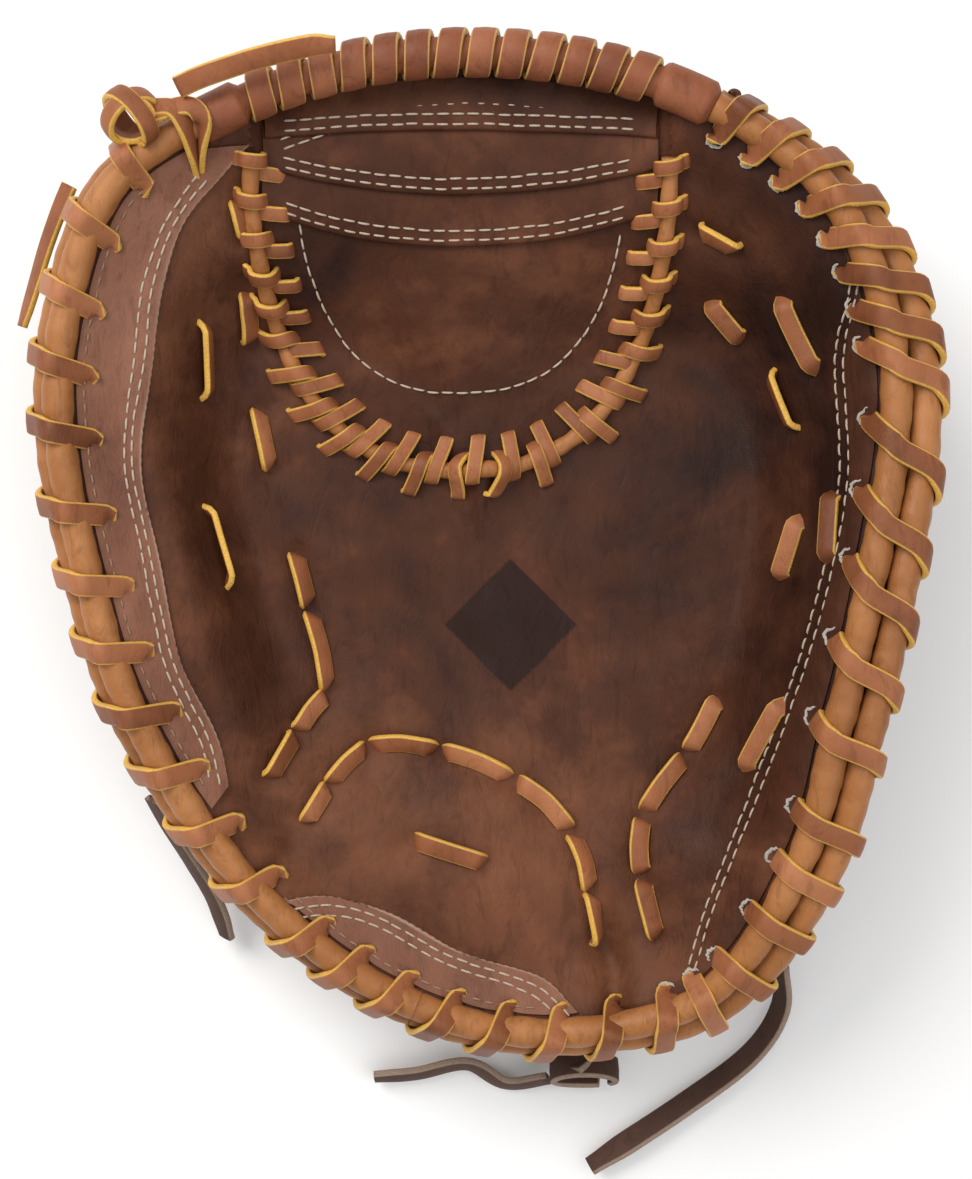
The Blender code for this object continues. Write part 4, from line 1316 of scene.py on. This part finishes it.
def back_surface(crease, ends, side, rows, columns):
    """The back leather from the middle of the mitt's back, round under the crease, and up to the rim."""
    share, u = np.meshgrid(np.linspace(0, 1, rows), np.linspace(0, 1, columns), indexing="ij")
    angle = ends[0] + (ends[1] - ends[0]) * share
    hang = np.radians(form(angle, ROLL_HANG))
    outer = rim(angle, ROLL_SPACING * np.cos(hang) + BACK_REACH - 1.0, 0)
    outer[..., 2] -= 10
    inner = crease_foot(crease, share, side * 5)
    turn = np.radians(90 * u)
    plan = inner + (outer[..., :2] - inner) * np.sin(turn)[..., None]
    z = 0.9 + (outer[..., 2] - 0.9) * (1 - np.cos(turn))
    seams = 0.0
    for at in BACK_SEAMS:
        seams = seams - 1.1 * np.exp(-(((u - at) / 0.014) ** 2)) * smooth(share / 0.06)
    channel = 1.5 * np.sin(np.clip(u, 0, 0.95) * 3 * math.pi) ** 2 * smooth((share - 0.1) / 0.3)
    lift = (seams + channel) * np.sin(turn * 0.98)
    points = np.stack([plan[..., 0], plan[..., 1], z], -1)
    normal = unit(np.stack([side * np.sin(turn), 0 * turn, -np.cos(turn)], -1))
    return points + normal * lift[..., None], normal


def web_end_wall(crease, end_row, side):
    """The leather that closes a side's padded section: along the gap under the web, then round its end."""
    share = np.linspace(0.55, 1, 60)[:-1]
    inner = crease_foot(crease, share, side * 5)
    low = np.vstack([np.column_stack([inner, np.full(len(inner), 0.9)]), end_row])
    high = low.copy()
    high[:, 2] = np.maximum(low[:, 2], skin(low[:, 0], low[:, 1]) - 3.2)
    up = np.linspace(0, 1, 40)[:, None, None]
    ahead = unit(np.gradient(low[:, :2], axis=0))
    outward = np.stack([-ahead[:, 1], ahead[:, 0], 0 * ahead[:, 0]], -1) * -side
    bulge = 3.0 * np.sin(np.pi * up) * (high[:, 2] - low[:, 2])[None, :, None] / 70
    fold = 0.5 * np.sin(np.arange(len(low)) * 0.31)[None, :, None] * np.sin(np.pi * up)
    return low[None] * (1 - up) + high[None] * up + outward[None] * (bulge + fold)


def centre_back_height(x, y):
    """Height of the middle of the back leather, which is flat and then climbs towards the web."""
    low, high = THUMB_CREASE[0], FINGER_CREASE[0]
    across = (x - low[0]) / (high[0] - low[0])
    heel = low[1] + (high[1] - low[1]) * across
    share = (y - heel) / (THUMB_CREASE[1, 1] - heel)
    return 2 + (plain_height(x, y) - 14) * 0.7 * smooth((share - 0.70) / 0.30)


def build_linings(finish):
    """The back leather that meets the palm leather round the web's gap, and the heel's binding."""
    share = np.linspace(0, 1, 180)
    plan = web_edge(share, 1.2)
    top = skin(plan[:, 0], plan[:, 1]) - 2.6
    low = np.minimum(centre_back_height(plan[:, 0], plan[:, 1]) - 0.4, top - 3)
    up = np.linspace(0, 1, 40)[:, None]
    z = low * (1 - up) + top * up
    away = unit(plan - WEB_CENTRE)
    x = plan[:, 0] + away[:, 0] * 2.5 * np.sin(np.pi * up)
    y = plan[:, 1] + away[:, 1] * 2.5 * np.sin(np.pi * up)
    wall = Batch()
    verts = np.stack([x, y, z], -1).reshape(-1, 3)
    wall.add(verts, grid_faces(40, 180), tone=0.5)
    for obj in halves("web_gap_wall", wall, finish["back"], whole=False):
        thicken(obj, 1.2)
    angle = np.linspace(240, 286, 150)
    plan = rim(angle, -4.2)
    top = skin(plan[:, 0], plan[:, 1]) - 1.2
    up = np.linspace(0, 1, 24)[:, None]
    outward = unit(rim(angle, 1) - rim(angle, -1))
    bulge = 1.6 * np.sin(np.pi * up) + 0.25 * np.sin(angle * 2.9) * np.sin(np.pi * up)
    binding = Batch()
    x, y = (plan[:, k] + outward[:, k] * bulge for k in (0, 1))
    verts = np.stack([x, y, top - 14.5 + 14.5 * up], -1).reshape(-1, 3)
    binding.add(verts, grid_faces(24, 150), tone=0.5)
    for obj in halves("heel_binding", binding, finish["back"], whole=False):
        thicken(obj, 1.2)


def build_back(finish):
    for name, crease, ends, side, bend in (
        ("thumb", THUMB_CREASE, (240, 122), -1, bend_left),
        ("finger", FINGER_CREASE, (-76, 61), 1, bend_right),
    ):
        points, normal = back_surface(crease, ends, side, 220, 120)
        panels, thread = Batch(), Batch()
        verts = points.reshape(-1, 3)
        panels.add(verts, faced(verts, grid_faces(220, 120), normal.reshape(-1, 3)), tone=0.5)
        wall = web_end_wall(crease, points[-1], side)
        verts = wall.reshape(-1, 3)
        panels.add(verts, faced(verts, grid_faces(*wall.shape[:2]), (0, 1, 0)), tone=0.5)
        leather_node = f"back_leather_{name}"
        panel = single(f"back_{name}_panel", panels, finish["back"], [leather_node])
        thicken(panel, 1.4, -1)
        bend(panel)
        for at in (*BACK_SEAMS, 0.955):
            for aside in (-0.017, 0.017):
                column = int(round((at + aside) * 119))
                stitch_run(thread, points[:, column] + normal[:, column] * 0.15, normal[:, column])
        bend(single(f"back_{name}_stitching", thread, finish["thread"]))


def soft_copy(
    name, node, finish, voxel, smoothing, shrink=0.0, ripple=0.0, under_palm=False, swell=None
):
    """A softened piece in a CAD node's space: remeshed, rounded off, and with swell inflated as cloth."""
    source = frame["nodes"][node]
    mesh = source.data.copy()
    mesh.transform(source.matrix_world)
    mesh.materials.clear()
    mesh.materials.append(finish)
    obj = bpy.data.objects.new(name, mesh)
    bpy.context.scene.collection.objects.link(obj)
    remesh = obj.modifiers.new("remesh", "REMESH")
    remesh.mode = "VOXEL"
    remesh.voxel_size = voxel * MM
    remesh.use_smooth_shade = True
    soften = obj.modifiers.new("soften", "SMOOTH")
    soften.iterations = smoothing
    apply_modifiers(obj)
    if swell:
        inflate(obj, swell)
    verts = np.empty(len(obj.data.vertices) * 3, np.float32)
    normals = np.empty(len(verts), np.float32)
    obj.data.vertices.foreach_get("co", verts)
    obj.data.vertex_normals.foreach_get("vector", normals)
    verts, normals = verts.reshape(-1, 3) / MM, normals.reshape(-1, 3)
    x, y, z = verts.T
    wave = np.sin(x / 5.1 + 1.3 * np.sin(y / 11)) * np.sin(y / 7.3 + np.sin(z / 9))
    wave = wave + 0.5 * np.sin((x - y + z) / 3.1)
    verts = verts + normals * (ripple * wave - shrink)[:, None]
    if under_palm:
        verts[:, 2] = np.minimum(verts[:, 2], skin(verts[:, 0], verts[:, 1]) - 3.4)
    obj.data.vertices.foreach_set("co", (verts * MM).astype(np.float32).ravel())
    if swell:
        obj.modifiers.new("subdivide", "SUBSURF").levels = 1
        obj.modifiers["subdivide"].render_levels = 1
        apply_modifiers(obj)
    obj.data.shade_smooth()
    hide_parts(node)
    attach(obj, body_of(source)[0])
    return obj


def apply_modifiers(obj):
    bpy.context.view_layer.update()
    graph = bpy.context.evaluated_depsgraph_get()
    baked = bpy.data.meshes.new_from_object(obj.evaluated_get(graph), depsgraph=graph)
    obj.modifiers.clear()
    obj.data = baked


def inflate(obj, most):
    """Blows a closed piece up as cloth, and lets no point move further than most millimetres."""
    before = np.empty(len(obj.data.vertices) * 3, np.float32)
    obj.data.vertices.foreach_get("co", before)
    cloth = obj.modifiers.new("inflate", "CLOTH")
    cloth.settings.use_pressure = True
    cloth.settings.uniform_pressure_force = 4.0
    cloth.settings.effector_weights.gravity = 0
    for number in range(1, 21):
        bpy.context.scene.frame_set(number)
    apply_modifiers(obj)
    bpy.context.scene.frame_set(1)
    after = np.empty(len(before), np.float32)
    obj.data.vertices.foreach_get("co", after)
    moved = (after - before).reshape(-1, 3)
    length = np.linalg.norm(moved, axis=1, keepdims=True)
    moved *= np.minimum(1, most * MM / np.maximum(length, 1e-9))
    obj.data.vertices.foreach_set("co", before + moved.ravel())


def build_soft_parts(finish):
    felt, liner, back = finish["felt"], finish["liner"], finish["back"]
    for side in ("palm", "thumb", "finger"):
        pad = soft_copy(
            f"{side}_felt_pad",
            f"{side}_pad",
            felt,
            voxel=4.0,
            smoothing=4,
            shrink=0.8,
            ripple=0.15,
            under_palm=True,
            swell=1.0,
        )
    fleece = soft_copy(
        "strap_fleece_pad",
        "strap_fleece",
        finish["fleece"],
        voxel=4.0,
        smoothing=2,
        ripple=0.35,
        swell=2.0,
    )
    for name, node, leather_kind, slot, voxel, smoothing, ripple in (
        ("palm_lining", "palm_liner", liner, "lining_leather", 1.3, 6, 0.12),
        ("back_center_panel", "back_leather_center", back, "back_leather", 1.2, 5, 0.10),
        ("wrist_strap_leather", "wrist_strap", back, "back_leather", 1.2, 4, 0.08),
        ("strap_tab_thumb_leather", "strap_tab_thumb", back, "back_leather", 1.0, 3, 0.0),
        ("strap_tab_finger_leather", "strap_tab_finger", back, "back_leather", 1.0, 3, 0.0),
        ("ring_loop_leather", "ring_loop", back, "back_leather", 0.8, 3, 0.0),
        ("index_stall_lining", "index_stall", liner, "lining_leather", 1.3, 6, 0.10),
        ("thumb_stall_lining", "thumb_stall", liner, "lining_leather", 1.3, 6, 0.10),
        ("finger_stall_lining", "finger_stall", liner, "lining_leather", 1.3, 6, 0.10),
    ):
        soft_copy(name, node, leather_kind, voxel, smoothing, ripple=ripple)


def dress_cad_nodes(finish):
    """The material of the one CAD node that shows as it is."""
    ring = frame["nodes"]["strap_ring"]
    ring.data.materials.clear()
    ring.data.materials.append(finish["steel"])


# ---------------------------------------------------------------- the studio


def aim(obj):
    """Turns a light towards the middle of the pocket."""
    obj.rotation_euler = (Vector((0, 0, 0.04)) - obj.location).to_track_quat("-Z", "Y").to_euler()


def area_light(name, place, size, power, colour=(1, 1, 1)):
    data = bpy.data.lights.new(name, "AREA")
    data.size = size
    data.energy = power
    data.color = colour
    obj = bpy.data.objects.new(name, data)
    obj.location = place
    bpy.context.scene.collection.objects.link(obj)
    aim(obj)


def build_studio():
    """The camera, which looks straight down into the pocket, the floor and the lights."""
    data = bpy.data.cameras.new("camera")
    data.lens = 68.2
    camera = bpy.data.objects.new("camera", data)
    camera.location = (0.0017, -0.0116, 0.700)
    bpy.context.scene.collection.objects.link(camera)
    bpy.context.scene.camera = camera
    bpy.ops.mesh.primitive_plane_add(size=8, location=(0, 0, -0.0004))
    floor = bpy.context.object
    floor.name = "studio_floor"
    paint = bpy.data.materials.new("studio_floor")
    paint.use_nodes = True
    shader = paint.node_tree.nodes["Principled BSDF"]
    shader.inputs["Base Color"].default_value = (0.92, 0.92, 0.92, 1)
    shader.inputs["Roughness"].default_value = 0.9
    floor.data.materials.append(paint)
    area_light("key_light", (-0.75, 0.75, 1.25), 0.9, 19, (1.0, 0.965, 0.92))
    area_light("fill_light", (0.9, -0.5, 1.3), 1.4, 6)
    area_light("top_light", (0.1, 0.2, 1.8), 1.6, 8)
    world = bpy.data.worlds.new("studio")
    world.use_nodes = True
    world.node_tree.nodes["Background"].inputs[0].default_value = (1, 1, 1, 1)
    world.node_tree.nodes["Background"].inputs[1].default_value = 0.5
    bpy.context.scene.world = world
    bpy.context.scene.view_settings.view_transform = "Standard"


def main():
    for obj in list(bpy.data.objects):
        if obj.name in ("Cube", "Light", "Camera"):
            bpy.data.objects.remove(obj)
    build_studio()
    finish = materials()
    build_free_ends(finish)
    build_palm(finish)
    build_overlays(finish)
    build_stitching(finish)
    build_rolls(finish)
    build_rim_laces(finish)
    build_web(finish)
    build_bar(finish)
    build_web_seam(finish)
    build_ties(finish)
    build_knots(finish)
    build_torn_holes(finish)
    build_thong_knot(finish)
    build_back(finish)
    build_linings(finish)
    build_soft_parts(finish)
    dress_cad_nodes(finish)


main()
